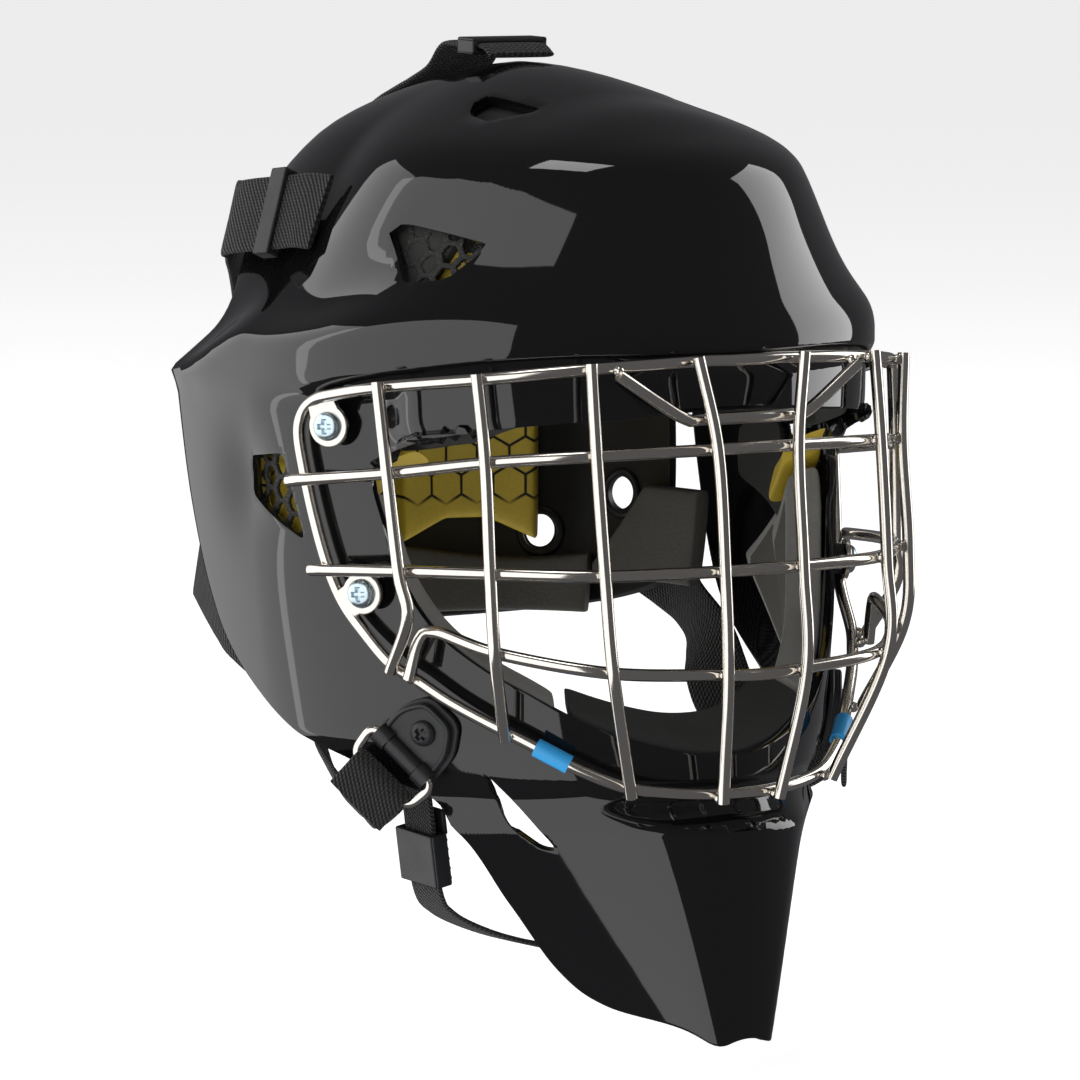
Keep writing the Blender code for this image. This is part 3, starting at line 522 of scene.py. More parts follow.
def whole_line(half):
    """A line right across from the half that runs from the middle to the wearer's left."""
    half = np.array(half, float)
    return np.concatenate([(half * [-1, 1, 1])[::-1], half[1:]])


def curve_through(knots, step):
    """An open smooth curve through the knots, with a point about every step millimetres."""
    knots = np.array(knots, float)
    lengths = np.linalg.norm(np.diff(knots, axis=0), axis=1)
    places = [number + np.arange(max(1, round(length / step))) / max(1, round(length / step))
              for number, length in enumerate(lengths)]
    return spline(knots, np.concatenate(places + [[len(knots) - 1.0]]), closed=False)


def ring_direction(place, across, side=None):
    """A direction by its place round the face opening and how far across the shell it lies, 0 to 1.

    place counts the listed edge points, from 0 at the chin to 14 at the top; side is -1 or 1, and without it
    place runs right round, the chin at 0 and the wearer's right side first.
    """
    place = np.asarray(place, float)
    if side is not None and side > 0:
        place = ROUND - place
    inner, outer = (spline(mirrored_loop(edge), place.ravel() % ROUND, closed=True).reshape(*place.shape, 3)
                    for edge in (OPENING_EDGE, REAR_EDGE))
    inner /= np.linalg.norm(inner, axis=-1, keepdims=True)
    outer /= np.linalg.norm(outer, axis=-1, keepdims=True)
    angle = np.arccos((inner * outer).sum(-1))[..., None]
    across = np.asarray(across, float)[..., None]
    return (np.sin((1 - across) * angle) * inner + np.sin(across * angle) * outer) / np.sin(angle)


# ---- Meshes ----

def mirrored(point, side):
    """A point of the wearer's left half, brought to the side given as -1 or 1."""
    return np.array(point, float) * [side, 1, 1]


def unit(vector):
    """The vector at length 1."""
    vector = np.array(vector, float)
    return vector / np.linalg.norm(vector)


def linked(name, data):
    """A new object with this data, in the scene."""
    made = bpy.data.objects.new(name, data)
    bpy.context.scene.collection.objects.link(made)
    return made


def mesh_of(name, shape):
    """Turns a bmesh into a mesh and frees it."""
    mesh = bpy.data.meshes.new(name)
    shape.to_mesh(mesh)
    shape.free()
    return mesh


def mesh_object(name, points, faces, look, uv=None, smooth=True):
    """A mesh from points in millimetres, with a map of u and v per point if it is given."""
    mesh = bpy.data.meshes.new(name)
    mesh.from_pydata((np.asarray(points, float).reshape(-1, 3) * MM).tolist(), [], faces)
    if uv is not None:
        layer = mesh.uv_layers.new(name="map")
        corners = np.empty(len(mesh.loops), dtype=np.int32)
        mesh.loops.foreach_get("vertex_index", corners)
        layer.data.foreach_set("uv", np.asarray(uv, float).reshape(-1, 2)[corners].ravel())
    shape = bmesh.new()
    shape.from_mesh(mesh)
    bmesh.ops.recalc_face_normals(shape, faces=shape.faces)
    shape.to_mesh(mesh)
    shape.free()
    if smooth:
        mesh.shade_smooth()
        mesh.set_sharp_from_angle(angle=math.radians(38))
    mesh.materials.append(LOOKS[look])
    return linked(name, mesh)


def grid_faces(rows, columns, wrap_rows=False, wrap_columns=False, start=0):
    """The quads of a grid of points numbered row by row, closed either way round if asked."""
    last_row = rows if wrap_rows else rows - 1
    last_column = columns if wrap_columns else columns - 1
    row, column = np.meshgrid(np.arange(last_row), np.arange(last_column), indexing="ij")
    below = (row + 1) % rows
    right = (column + 1) % columns
    quads = np.stack([row * columns + column, row * columns + right, below * columns + right,
                      below * columns + column], -1)
    return (quads.reshape(-1, 4) + start).tolist()


def bevelled(piece, width, segments, angle=50):
    """Rounds the edges that are sharper than angle, in degrees."""
    edge = piece.modifiers.new("edge", "BEVEL")
    edge.width = width * MM
    edge.segments = segments
    edge.limit_method = "ANGLE"
    edge.angle_limit = math.radians(angle)
    edge.harden_normals = False
    return piece


def solidified(piece, thickness):
    """Gives a sheet a wall, inwards from its faces."""
    wall = piece.modifiers.new("wall", "SOLIDIFY")
    wall.thickness = thickness * MM
    wall.offset = -1
    return piece


def placing_of(centre, x, y, z):
    """A placing matrix from a place in millimetres and the directions of its local axes."""
    turn = Matrix((Vector(x), Vector(y), Vector(z))).transposed().to_4x4()
    return Matrix.Translation(Vector(centre) * MM) @ turn


def frame_at(centre, normal, up=(0, 0, 1)):
    """A placing matrix: local Z along normal, local Y as near to up as it can be."""
    z = Vector(normal).normalized()
    x = Vector(up).cross(z).normalized()
    return placing_of(centre, x, z.cross(x), z)


def placed(points, placing):
    """Points in millimetres, moved by a placing matrix."""
    turn = np.array(placing.to_3x3())
    shift = np.array(placing.translation) / MM
    return np.asarray(points, float) @ turn.T + shift


def dress(piece, body, *nodes):
    """Ties a piece to its body and lets it stand for CAD nodes."""
    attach(piece, body)
    if nodes:
        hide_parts(*nodes)
    return piece


# ---- Shell and liner ----

def vent_map(corners, side):
    """A vent's middle and normal, two directions in the surface, and its corners along them.

    The corners run anticlockwise.
    """
    corners = np.array([mirrored(corner, side) for corner in corners])
    middle = corners.mean(0)
    normal = surface_normal(middle)
    across = unit(np.cross((0, 0, 1), normal))
    up = np.cross(normal, across)
    local = np.stack([(corners - middle) @ across, (corners - middle) @ up], -1)
    after = np.roll(local, -1, 0)
    if (local[:, 0] * after[:, 1] - local[:, 1] * after[:, 0]).sum() < 0:
        local = local[::-1]
    return middle, normal, across, up, local


def outline_distance(a, b, corners, blend=2.2):
    """Negative inside a convex outline whose corners are rounded."""
    reach = None
    for (ax, ay), (bx, by) in zip(corners, np.roll(corners, -1, 0)):
        away = ((a - ax) * (by - ay) - (b - ay) * (bx - ax)) / math.hypot(bx - ax, by - ay)
        reach = away if reach is None else smooth_max(reach, away, blend)
    return reach


def cut_vents(points):
    """Moves the grid points nearest to a vent's outline onto it, and gives each point's distance outside.

    A point moves down the slope of its distance to the outline, then back onto the shell.
    """
    outside = np.full(points.shape[:-1], FAR_OFF)
    for corners in VENTS.values():
        for _, side in SIDES:
            middle, normal, across, up, local = vent_map(corners, side)

            def reach_of(where, shift_a=0.0, shift_b=0.0):
                offset = where - middle
                return outline_distance(offset @ across + shift_a, offset @ up + shift_b, local)

            offset = points - middle
            near = (np.abs(offset @ normal) < 22) & ((offset**2).sum(-1) < 45**2)
            reach = np.where(near, reach_of(points), FAR_OFF)
            moved = np.zeros(near.shape, bool)
            for axis in (0, 1):
                beside = np.roll(reach, -1, axis)
                crossing = reach * beside < 0
                moved |= crossing & (np.abs(reach) <= np.abs(beside))
                moved |= np.roll(crossing & (np.abs(reach) > np.abs(beside)), 1, axis)
            some = points[moved]
            for _ in range(3):
                slope_a = (reach_of(some, 0.1) - reach_of(some, -0.1)) * 5
                slope_b = (reach_of(some, 0, 0.1) - reach_of(some, 0, -0.1)) * 5
                shift = slope_a[:, None] * across + slope_b[:, None] * up
                some = on_shell(some - shift * reach_of(some)[:, None])
            points[moved] = some
            reach[moved] = 0
            outside = np.where(near, np.minimum(outside, reach), outside)
    return outside


def outer_faces(faces, outside):
    """The faces outside a hole; one that its outline crosses corner to corner keeps its outer triangle."""
    kept = []
    signs = np.sign(outside[faces])
    for face, sign in zip(faces.tolist(), signs):
        if sign.min() >= 0 and sign.sum() > 0:
            kept.append(face)
        elif sign.max() > 0:
            top = int(sign.argmax())
            kept.append([face[top - 1], face[top], face[(top + 1) % 4]])
    return kept


def shell():
    """The shell: a grid of rays from the face opening to the rear edge, out to its surface, less the vents."""
    place, across = np.meshgrid(np.arange(GRID_ROUND) / GRID_ROUND * ROUND, np.linspace(0, 1, GRID_ACROSS))
    points = on_shell(ring_direction(place, across))
    outside = cut_vents(points).ravel()
    faces = outer_faces(np.array(grid_faces(GRID_ACROSS, GRID_ROUND, wrap_columns=True)), outside)
    piece = faced_outwards(mesh_object("shell_skin", points, faces, "shell"))
    dress(bevelled(solidified(piece, WALL), 1.0, 2, 60), "mask", "shell")


def faced_outwards(piece):
    """Turns a sheet's faces away from the origin and drops the points that none of them uses."""
    if sum(face.normal.dot(face.center) for face in piece.data.polygons) < 0:
        piece.data.flip_normals()
    drop_loose_points(piece)
    return piece


def drop_loose_points(piece):
    """Drops the points that no face uses."""
    shape = bmesh.new()
    shape.from_mesh(piece.data)
    loose = [point for point in shape.verts if not point.link_faces]
    bmesh.ops.delete(shape, geom=loose, context="VERTS")
    shape.to_mesh(piece.data)
    shape.free()


def edge_profile(part):
    """1 over most of a slab's width, falling to 0 in a rounded edge at 0 and 1."""
    return np.clip(1 - np.abs(2 * part - 1) ** PAD_EDGE, 0, 1) ** (1 / PAD_EDGE)


def slab_grid(columns, rows):
    """A slab's grid: u and v from 0 to 1, finer towards the edges, and how full the slab is at each point."""
    u, v = np.meshgrid(*(0.5 - 0.5 * np.cos(np.linspace(0, math.pi, count)) for count in (columns, rows)))
    return u, v, edge_profile(u) * edge_profile(v)


def closed_slab(name, look, outer, inner, full, edge_look, uv=None):
    """A closed foam slab between two grids of points, whose cut edge can have a look of its own."""
    rows, columns = full.shape
    count = columns * rows
    faces = grid_faces(rows, columns) + grid_faces(rows, columns, start=count)
    rim = list(range(columns)) + [row * columns + columns - 1 for row in range(1, rows)]
    rim += [(rows - 1) * columns + column for column in range(columns - 2, -1, -1)]
    rim += [row * columns for row in range(rows - 2, 0, -1)]
    faces += [(a, b, count + b, count + a) for a, b in zip(rim, rim[1:] + rim[:1])]
    piece = mesh_object(name, np.concatenate([outer.reshape(-1, 3), inner.reshape(-1, 3)]), faces, look, uv)
    if edge_look:
        piece.data.materials.append(LOOKS[edge_look])
        fullness = np.concatenate([full.ravel(), full.ravel()])
        marks = [int(fullness[list(face.vertices)].mean() < EDGE_FULLNESS) for face in piece.data.polygons]
        piece.data.polygons.foreach_set("material_index", marks)
    return piece


def slab(name, look, places, spans, depth, thickness, side=None, columns=48, edge_look=None):
    """A foam slab at a depth under the shell, between two places round the opening and two across the shell.

    full falls from 1 to 0 at the edges, where the two sides meet half the thickness down.
    """
    u, v, full = slab_grid(columns, 36)
    rays = ring_direction(places[0] + (places[1] - places[0]) * u, spans[0] + (spans[1] - spans[0]) * v, side)
    outer = on_shell(rays, depth + 0.5 * thickness * (1 - full))
    inner = on_shell(rays, depth + 0.5 * thickness * (1 + full))
    return closed_slab(name, look, outer, inner, full, edge_look)


def liner():
    """The foam pads inside the shell."""
    crown = slab("crown_foam", "dark_foam", (10.4, 17.6), (0.42, 0.86), 4.5, 9.0, columns=60)
    dress(crown, "mask", "crown_pad")
    brow = slab("brow_foam", "dark_foam", (10.1, 17.9), (0.07, 0.36), 4.0, 9.0, columns=60)
    dress(brow, "mask", "brow_pad")
    chin = slab("chin_foam", "dark_foam", (-2.3, 2.3), (0.015, 0.10), 3.6, 17.0, columns=60,
                edge_look="dark_foam")
    dress(chin, "mask", "chin_pad")
    for name, side in SIDES:
        dress(slab(f"cheek_foam_{name}", "grey_foam", (2.55, 7.7), (0.03, 0.40), 4.0, 12.0, side,
                   edge_look="cut_foam"), "mask", f"cheek_pad_{name}")
        dress(slab(f"ear_foam_{name}", "grey_foam", (5.2, 8.3), (0.45, 0.74), 4.0, 7.0, side,
                   edge_look="cut_foam"), "mask")
        dress(slab(f"temple_foam_{name}", "yellow", (8.1, 9.3), (0.06, 0.34), 4.0, 13.0, side), "mask",
              f"temple_pad_{name}")


def vent_screens():
    """The pierced screens behind the cheek and side vents, and the yellow foam that shows through them."""
    for kind in ("cheek_vent", "side_vent"):
        for name, side in SIDES:
            middle, normal, across, up, local = vent_map(VENTS[kind], side)
            reach = np.abs(local).max() * 1.25
            steps = int(reach * 2 / 0.55)
            a, b = np.meshgrid(np.linspace(-reach, reach, steps), np.linspace(-reach, reach, steps))
            base = middle + a[..., None] * across + b[..., None] * up
            points = on_shell(base, WALL + 1.2)
            column = np.round(a / SCREEN_PITCH[0])
            stagger = SCREEN_PITCH[1] / 2 * (column % 2)
            row = np.round((b - stagger) / SCREEN_PITCH[1])
            da = np.abs(a - column * SCREEN_PITCH[0])
            db = np.abs(b - stagger - row * SCREEN_PITCH[1])
            hole = np.maximum(db, db * 0.5 + da * 0.866)
            faces = np.array(grid_faces(steps, steps))
            inside = (outline_distance(a, b, local) < 4.0).ravel()
            solid = (hole > 2.9).ravel()
            keep = inside[faces].all(1) & (solid[faces].sum(1) >= 3)
            piece = mesh_object(f"{kind}_mesh_{name}", points, faces[keep].tolist(), "screen")
            drop_loose_points(piece)
            solidified(piece, 1.2)
            dress(piece, "mask", f"{kind}_screen_{name}")
            back = on_shell(base, WALL + 5.0)
            faces = faces[inside[faces].all(1)]
            behind = mesh_object(f"{kind}_foam_{name}", back, faces.tolist(), "yellow", np.stack([a, b], -1))
            drop_loose_points(behind)
            behind.data.materials.append(LOOKS["dark_foam"])
            solidified(behind, 3.0)
            behind.modifiers[-1].material_offset = 1
            behind.modifiers[-1].material_offset_rim = 1
            dress(behind, "mask")


# ---- Cage ----

def wire(name, points, radius, look="nickel", closed=False):
    """A round wire along a smooth line of points."""
    curve = bpy.data.curves.new(name, "CURVE")
    curve.dimensions = "3D"
    curve.bevel_depth = radius * MM
    curve.bevel_resolution = 5
    curve.use_fill_caps = not closed
    path = curve.splines.new("POLY")
    path.points.add(len(points) - 1)
    flat = np.concatenate([np.asarray(points) * MM, np.ones((len(points), 1))], 1)
    path.points.foreach_set("co", flat.ravel())
    path.use_cyclic_u = closed
    path.use_smooth = True
    curve.materials.append(LOOKS[look])
    return linked(name, curve)


def rim_points(count):
    """The rim's line, moved off the shell wherever the wire would touch it."""
    points = spline(mirrored_loop(RIM_LINE), np.arange(count) / count * (2 * len(RIM_LINE) - 2), closed=True)
    for number, point in enumerate(points):
        while shell_field(point) < WIRE_R + 0.7:
            point = point + surface_normal(point) * 0.2
        points[number] = point
    return points


def cage():
    """The bars, the rim and the weld nuggets where the wires cross; gives the rim's line."""
    uprights = {}
    for name, side in SIDES:
        for number, line in enumerate(BAR_LINES, 1):
            route = [mirrored(point, side) for point in line]
            uprights[f"cage_bar_{name}_{number}"] = curve_through(route, WIRE_STEP)
    crossing = {"cage_upper_bar": UPPER_BAR, "cage_middle_bar": MIDDLE_BAR, "cage_lower_bar": LOWER_BAR,
                "cage_dip_bar": DIP_BAR}
    crossing = {name: curve_through(whole_line(line), WIRE_STEP) for name, line in crossing.items()}
    rim = rim_points(336)
    for node, points in {**uprights, **crossing}.items():
        dress(wire(node.replace("cage_", "wire_"), points, WIRE_R), "mask", node)
    dress(wire("wire_rim", rim, WIRE_R, closed=True), "mask", "cage_rim")
    lines = {**uprights, **crossing, "rim": rim}
    names = list(lines)
    nuggets = []
    for number, first in enumerate(names):
        for second in names[number + 1:]:
            gaps = np.linalg.norm(lines[first][:, None] - lines[second][None], axis=-1)
            while gaps.min() < WELD_GAP:
                i, j = np.unravel_index(gaps.argmin(), gaps.shape)
                nuggets.append((lines[first][i] + lines[second][j]) / 2)
                gaps[max(0, i - 6):i + 7] = FAR_OFF
    shape = bmesh.new()
    for nugget in nuggets:
        bmesh.ops.create_icosphere(shape, subdivisions=2, radius=WELD_R * MM,
                                   matrix=Matrix.Translation(Vector(nugget) * MM))
    mesh = mesh_of("wire_welds", shape)
    mesh.shade_smooth()
    mesh.materials.append(LOOKS["nickel"])
    dress(linked("wire_welds", mesh), "mask")
    return rim


def screw(name, placing, radius, height, look):
    """A pan-head screw with a cross recess: a domed disc whose height is worked out ring by ring."""
    columns, rows = 96, 44
    turns = np.linspace(0, 2 * math.pi, columns, endpoint=False)
    turn, part = np.meshgrid(turns, np.linspace(0.001, 1, rows))
    reach = radius * np.minimum(part * 1.12, 1)
    x, y = reach * np.cos(turn), reach * np.sin(turn)
    z = height * (1 - (reach / radius) ** 3.2) ** (1 / 2.4) - height * np.clip(part * 1.12 - 1, 0, None) * 6
    slot = smooth_min(np.maximum(np.abs(x) - 0.75, np.abs(y) - radius * 0.5),
                      np.maximum(np.abs(y) - 0.75, np.abs(x) - radius * 0.5), 0.3)
    z = z - 1.3 * ramp(-slot, -0.12, 0.35) * (1 - 0.3 * reach / radius)
    points = placed(np.stack([x, y, z], -1).reshape(-1, 3), placing)
    faces = grid_faces(rows, columns, wrap_columns=True)
    faces += [tuple(range(columns)), tuple(range((rows - 1) * columns, rows * columns))]
    return mesh_object(name, points, faces, look)


def lobed_plate(outline_points, thickness, placing, name, look):
    """A flat plate with the given outline in its local XY plane."""
    count = len(outline_points)
    points = [(x, y, z) for z in (-thickness / 2, thickness / 2) for x, y in outline_points]
    faces = [tuple(range(count)), tuple(range(count, 2 * count))]
    faces += [(k, (k + 1) % count, count + (k + 1) % count, count + k) for k in range(count)]
    return bevelled(mesh_object(name, placed(points, placing), faces, look), 0.35, 2)


def fixings(rim):
    """The tear-shaped tabs that reach to the rim, their screws and the spacers under them."""
    for name, side in SIDES:
        for level, point in TAB_POINTS.items():
            foot = on_shell(mirrored(point, side)[None])[0]
            normal = surface_normal(foot)
            centre = foot + normal * TAB_STAND_OFF
            placing = frame_at(centre, normal)
            turn = np.array(placing.to_3x3())
            local = (rim - centre) @ turn
            toward_rim = local[np.argmin(np.linalg.norm(local, axis=1))][:2]
            heading = math.atan2(toward_rim[1], toward_rim[0])
            angles = np.radians(np.arange(50, 311, 10)) + heading
            outline_points = [(6.6 * math.cos(angle), 6.6 * math.sin(angle)) for angle in angles]
            for angle, reach in ((-32, 9.0), (0, np.linalg.norm(toward_rim) + 0.6), (32, 9.0)):
                bearing = heading + math.radians(angle)
                outline_points.append((reach * math.cos(bearing), reach * math.sin(bearing)))
            dress(lobed_plate(outline_points, 1.8, placing, f"tab_{name}_{level}", "nickel"), "mask",
                  f"cage_tab_{name}_{level}")
            top = frame_at(foot + normal * (TAB_STAND_OFF + 1.0), normal, (0.3, 0.2, 0.9))
            head = screw(f"pan_screw_{name}_{level}", top, 4.6, 2.5, "zinc")
            dress(head, "mask", f"cage_screw_{name}_{level}")
            boss = wire(f"spacer_{name}_{level}", [foot + normal, foot + normal * 3.8], 5.0, "plastic")
            dress(boss, "mask", f"cage_spacer_{name}_{level}")
        nearest = int(np.linalg.norm(rim - mirrored(RIM_LINE[5], side), axis=1).argmin())
        sleeve = wire(f"sleeve_{name}", rim[nearest - 4:nearest + 5], WIRE_R + 1.0, "sleeve")
        dress(sleeve, "mask", f"rim_sleeve_{name}")


# ---- Harness ----

def ribbon(name, points, sides, width, thickness):
    """Webbing: a flat strap with rounded edges along points, its width along sides."""
    points = np.array(points, float)
    sides = np.broadcast_to(np.array(sides, float), points.shape)
    along = np.gradient(points, axis=0)
    across = np.cross(along, sides)
    across /= np.linalg.norm(across, axis=1, keepdims=True)
    sides = np.cross(across, along)
    sides /= np.linalg.norm(sides, axis=1, keepdims=True)
    turn = np.linspace(0, 2 * math.pi, RIBBON_ROUND, endpoint=False)
    x = np.sign(np.cos(turn)) * np.abs(np.cos(turn)) ** 0.25 * width / 2
    y = np.sign(np.sin(turn)) * np.abs(np.sin(turn)) ** 0.7 * thickness / 2
    rings = points[:, None] + sides[:, None] * x[:, None] + across[:, None] * y[:, None]
    length = np.concatenate([[0], np.cumsum(np.linalg.norm(np.diff(points, axis=0), axis=1))])
    uv = np.stack(np.broadcast_arrays(x[None] + 0 * length[:, None], length[:, None]), -1)
    count = len(points)
    faces = grid_faces(count, RIBBON_ROUND, wrap_columns=True)
    faces += [tuple(range(RIBBON_ROUND)), tuple(range((count - 1) * RIBBON_ROUND, count * RIBBON_ROUND))]
    return mesh_object(name, rings, faces, "webbing", uv)


def smoothed(points, sides, step=1.5):
    """A strap's line and width directions with a point about every step millimetres, on a smooth curve."""
    points = np.array(points, float)
    sides = np.broadcast_to(np.array(sides, float), points.shape)
    length = np.concatenate([[0], np.cumsum(np.linalg.norm(np.diff(points, axis=0), axis=1))])
    places = np.interp(np.linspace(0, length[-1], int(length[-1] / step)), length, np.arange(len(points)))
    return spline(points, places, False), spline(sides, places, False)


def fine_ribbon(name, points, sides, width, thickness):
    """A ribbon along a smooth curve through coarse points."""
    return ribbon(name, *smoothed(points, sides), width, thickness)


def clip_axes(side):
    """The clip's foot on the shell and its three directions: along the barrel, towards it, and outwards."""
    foot = on_shell(mirrored(CLIP_SCREW, side)[None])[0]
    outward = surface_normal(foot)
    rear, front = (mirrored(end, side) for end in BARREL_ENDS)
    along = front - rear
    along = unit(along - outward * (along @ outward))
    reach = np.cross(outward, along)
    if reach @ ((rear + front) / 2 - foot) < 0:
        reach = -reach
    return foot, along, reach, outward


def ring_drop(side):
    """The direction in which a ring hangs from its barrel: over the shell's edge, a little outwards."""
    _, _, reach, outward = clip_axes(side)
    return unit(reach + outward * 0.22)


def rounded_outline(corners, radius, steps=6):
    """A closed outline with each corner turned into an arc."""
    corners = np.array(corners, float)
    points = []
    for before, here, after in zip(np.roll(corners, 1, 0), corners, np.roll(corners, -1, 0)):
        start = here + unit(before - here) * radius
        end = here + unit(after - here) * radius
        for part in np.linspace(0, 1, steps):
            points.append((1 - part) ** 2 * start + 2 * part * (1 - part) * here + part**2 * end)
    return np.array(points)


def clips():
    """Each jaw clip: backing plate, leaf with a raised rim, hinge barrel, screw, ring and folded webbing."""
    for name, side in SIDES:
        foot, along, reach, outward = clip_axes(side)
        placing = placing_of(foot, along, reach, outward)
        leaf = rounded_outline(LEAF_CORNERS, 3.2)
        back = leaf * [1.1, 1.1] + [0.4, -0.8]
        low = placing @ Matrix.Translation((0, 0, 0.9 * MM))
        dress(lobed_plate(back, 1.6, low, f"clip_base_{name}", "plastic"), "mask")
        high = placing @ Matrix.Translation((0, 0, 2.6 * MM))
        dress(lobed_plate(leaf, 2.0, high, f"clip_leaf_{name}", "plastic"), "mask", f"strap_clip_{name}")
        rim = np.array([(*point, 3.7) for point in leaf * 0.93])
        dress(wire(f"clip_rim_{name}", placed(rim, placing), 0.75, "plastic", closed=True), "mask")
        axis = foot + reach * BARREL_REACH + outward * BARREL_LIFT
        for number, (start, end, radius) in enumerate(((-11, -6.2, 3.5), (-5.9, 5.9, 2.9), (6.2, 11, 3.5))):
            ends = [axis + along * start, axis + along * end]
            knuckle = wire(f"clip_knuckle_{name}_{number + 1}", ends, radius, "plastic")
            dress(knuckle, "mask")
        top = frame_at(foot + outward * 3.5 - reach * 1.5, outward, along)
        dress(screw(f"jaw_screw_{name}", top, 4.1, 2.3, "plastic"), "mask", f"clip_screw_{name}")
        drop = ring_drop(side)
        half = RING_LENGTH / 2
        corners = [(-half, 0), (half, 0), (half - 1.5, RING_DEPTH), (-half + 1.5, RING_DEPTH)]
        loop = rounded_outline(corners, 4.0, 9)
        ring = [axis + along * a + drop * b for a, b in loop]
        dress(wire(f"ring_{name}", ring, 1.5, closed=True), f"ring_{name}", f"strap_ring_{name}")
        lower_strap(name, side, axis + drop * RING_DEPTH, along, drop, outward)


def lower_strap(name, side, leg, along, drop, outward):
    """The webbing folded round the ring's far leg, then led up inside the jaw to the backplate."""
    over = unit(np.cross(along, drop))
    if over @ outward < 0:
        over = -over
    turn = 1.8 + WEBBING_THICKNESS / 2
    points = [leg + drop * 11 + over * 1.9, leg + drop * 7 + over * 2.2, leg + drop * 3 + over * 2.6]
    for angle in np.radians([90, 120, 150, 180, 210, 240, 270]):
        points.append(leg + drop * turn * math.cos(angle) + over * turn * math.sin(angle))
    points += [leg + drop * 4 - over * 2.4]
    sides = [along] * len(points)
    tail = curve_through([points[-1]] + [mirrored(point, side) for point in LOWER_STRAP], STRAP_STEP)[1:]
    for number, point in enumerate(tail):
        mix = min(1.0, (number + 1) / 5)
        tilt = 0.5 * (1 - ramp(point[1], 5, 26))
        points.append(point)
        sides.append(unit(along * (1 - mix) + unit(mirrored((-tilt, 0.0, -1.0), side)) * mix))
    line, across = smoothed(points, sides)
    split = int(np.linalg.norm(line - mirrored((82.0, -10.0, -64.0), side), axis=1).argmin())
    fold = ribbon(f"jaw_webbing_{name}", line[:split + 1], across[:split + 1], JAW_WEBBING, WEBBING_THICKNESS)
    leg * MM
    line[split - 2] * MM
    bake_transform(fold)
    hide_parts(f"lower_strap_{name}")
    rest = ribbon(f"neck_webbing_{name}", line[split:], across[split:], JAW_WEBBING, WEBBING_THICKNESS)
    line[split + 2] * MM
    mirrored((88, 36, -24), side) * MM
    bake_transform(rest)
    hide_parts(f"lower_strap_{name}")


def boxes(name, parts, placing, edge, segments):
    """One black piece made of boxes, each given by its middle and its size, with its edges rounded."""
    shape = bmesh.new()
    for place, size in parts:
        scale = Matrix.Diagonal((*(length * MM for length in size), 1))
        local = Matrix.Translation(Vector(place) * MM) @ scale
        bmesh.ops.create_cube(shape, size=1, matrix=placing @ local)
    mesh = mesh_of(name, shape)
    mesh.materials.append(LOOKS["plastic"])
    return bevelled(linked(name, mesh), edge, segments)


def sling():
    """The sling under the chin, and its ladder buckle with a ribbed thumb tab."""
    half = [(0, -48, -126), (16, -47.5, -125.5), (32, -45.5, -122), (46, -42, -117.5), (57, -38, -111.5),
            BUCKLE_BOTTOM, BUCKLE_TOP, (69, -40.5, -68), (69.5, -43, -58)]
    piece = fine_ribbon("chin_webbing", whole_line(half), (0, 1, 0), CHIN_WEBBING, 1.8)
    dress(piece, "sling", "chin_sling")
    bottom = mirrored(BUCKLE_BOTTOM, -1)
    along = unit(mirrored(BUCKLE_TOP, -1) - bottom)
    centre = bottom + along * 11
    across = unit(np.cross((0, 1, 0), along))
    side = np.cross(along, across)
    parts = [((0, 0, 2.3), (19.5, 17, 1.8)), ((0, 0, -2.3), (19.5, 17, 1.8)), ((9.4, 0, 0), (1.8, 17, 5.4)),
             ((-9.4, 0, 0), (1.8, 17, 5.4)), ((0, 11.5, 3.6), (17.5, 8, 1.5))]
    parts += [((0, -6.6 + 3.1 * number, 3.5), (17.5, 1.4, 1.1)) for number in range(5)]
    buckle = boxes("ladder_buckle", parts, placing_of(centre, side, along, across), 0.5, 2)
    dress(buckle, "sling_buckle", "chin_buckle")


def slide_bar(name, centre, along, side, width, length, wall=1.9, thick=5.2):
    """A slider: four flat bars that make a frame round the strap."""
    across = unit(np.cross(along, side))
    if across @ centre < 0:
        across = -across
    side = np.cross(along, across)
    half = width / 2 + wall
    parts = [((0, 0, thick / 2 - 0.7), (2 * half, length, 1.6)),
             ((0, 0, -thick / 2 + 0.7), (2 * half, length, 1.4)),
             ((half - wall / 2, 0, 0), (wall, length, thick)),
             ((wall / 2 - half, 0, 0), (wall, length, thick))]
    return boxes(name, parts, placing_of(centre, side, along, across), 0.6, 3)


def pushed_clear(points, sides, width, needed, margin=0.5):
    """Moves a strap's points outwards until its whole width stands at least needed off the shell."""
    points = np.array(points, float)
    sides = np.broadcast_to(np.array(sides, float), points.shape)
    for place, (point, side) in enumerate(zip(points, sides)):
        for _ in range(60):
            probes = np.array([point + side * width / 2 * step for step in (-1, -0.5, 0, 0.5, 1)])
            if shell_field(probes).min() >= needed:
                break
            point = point + surface_normal(point) * margin
        points[place] = point
    return points


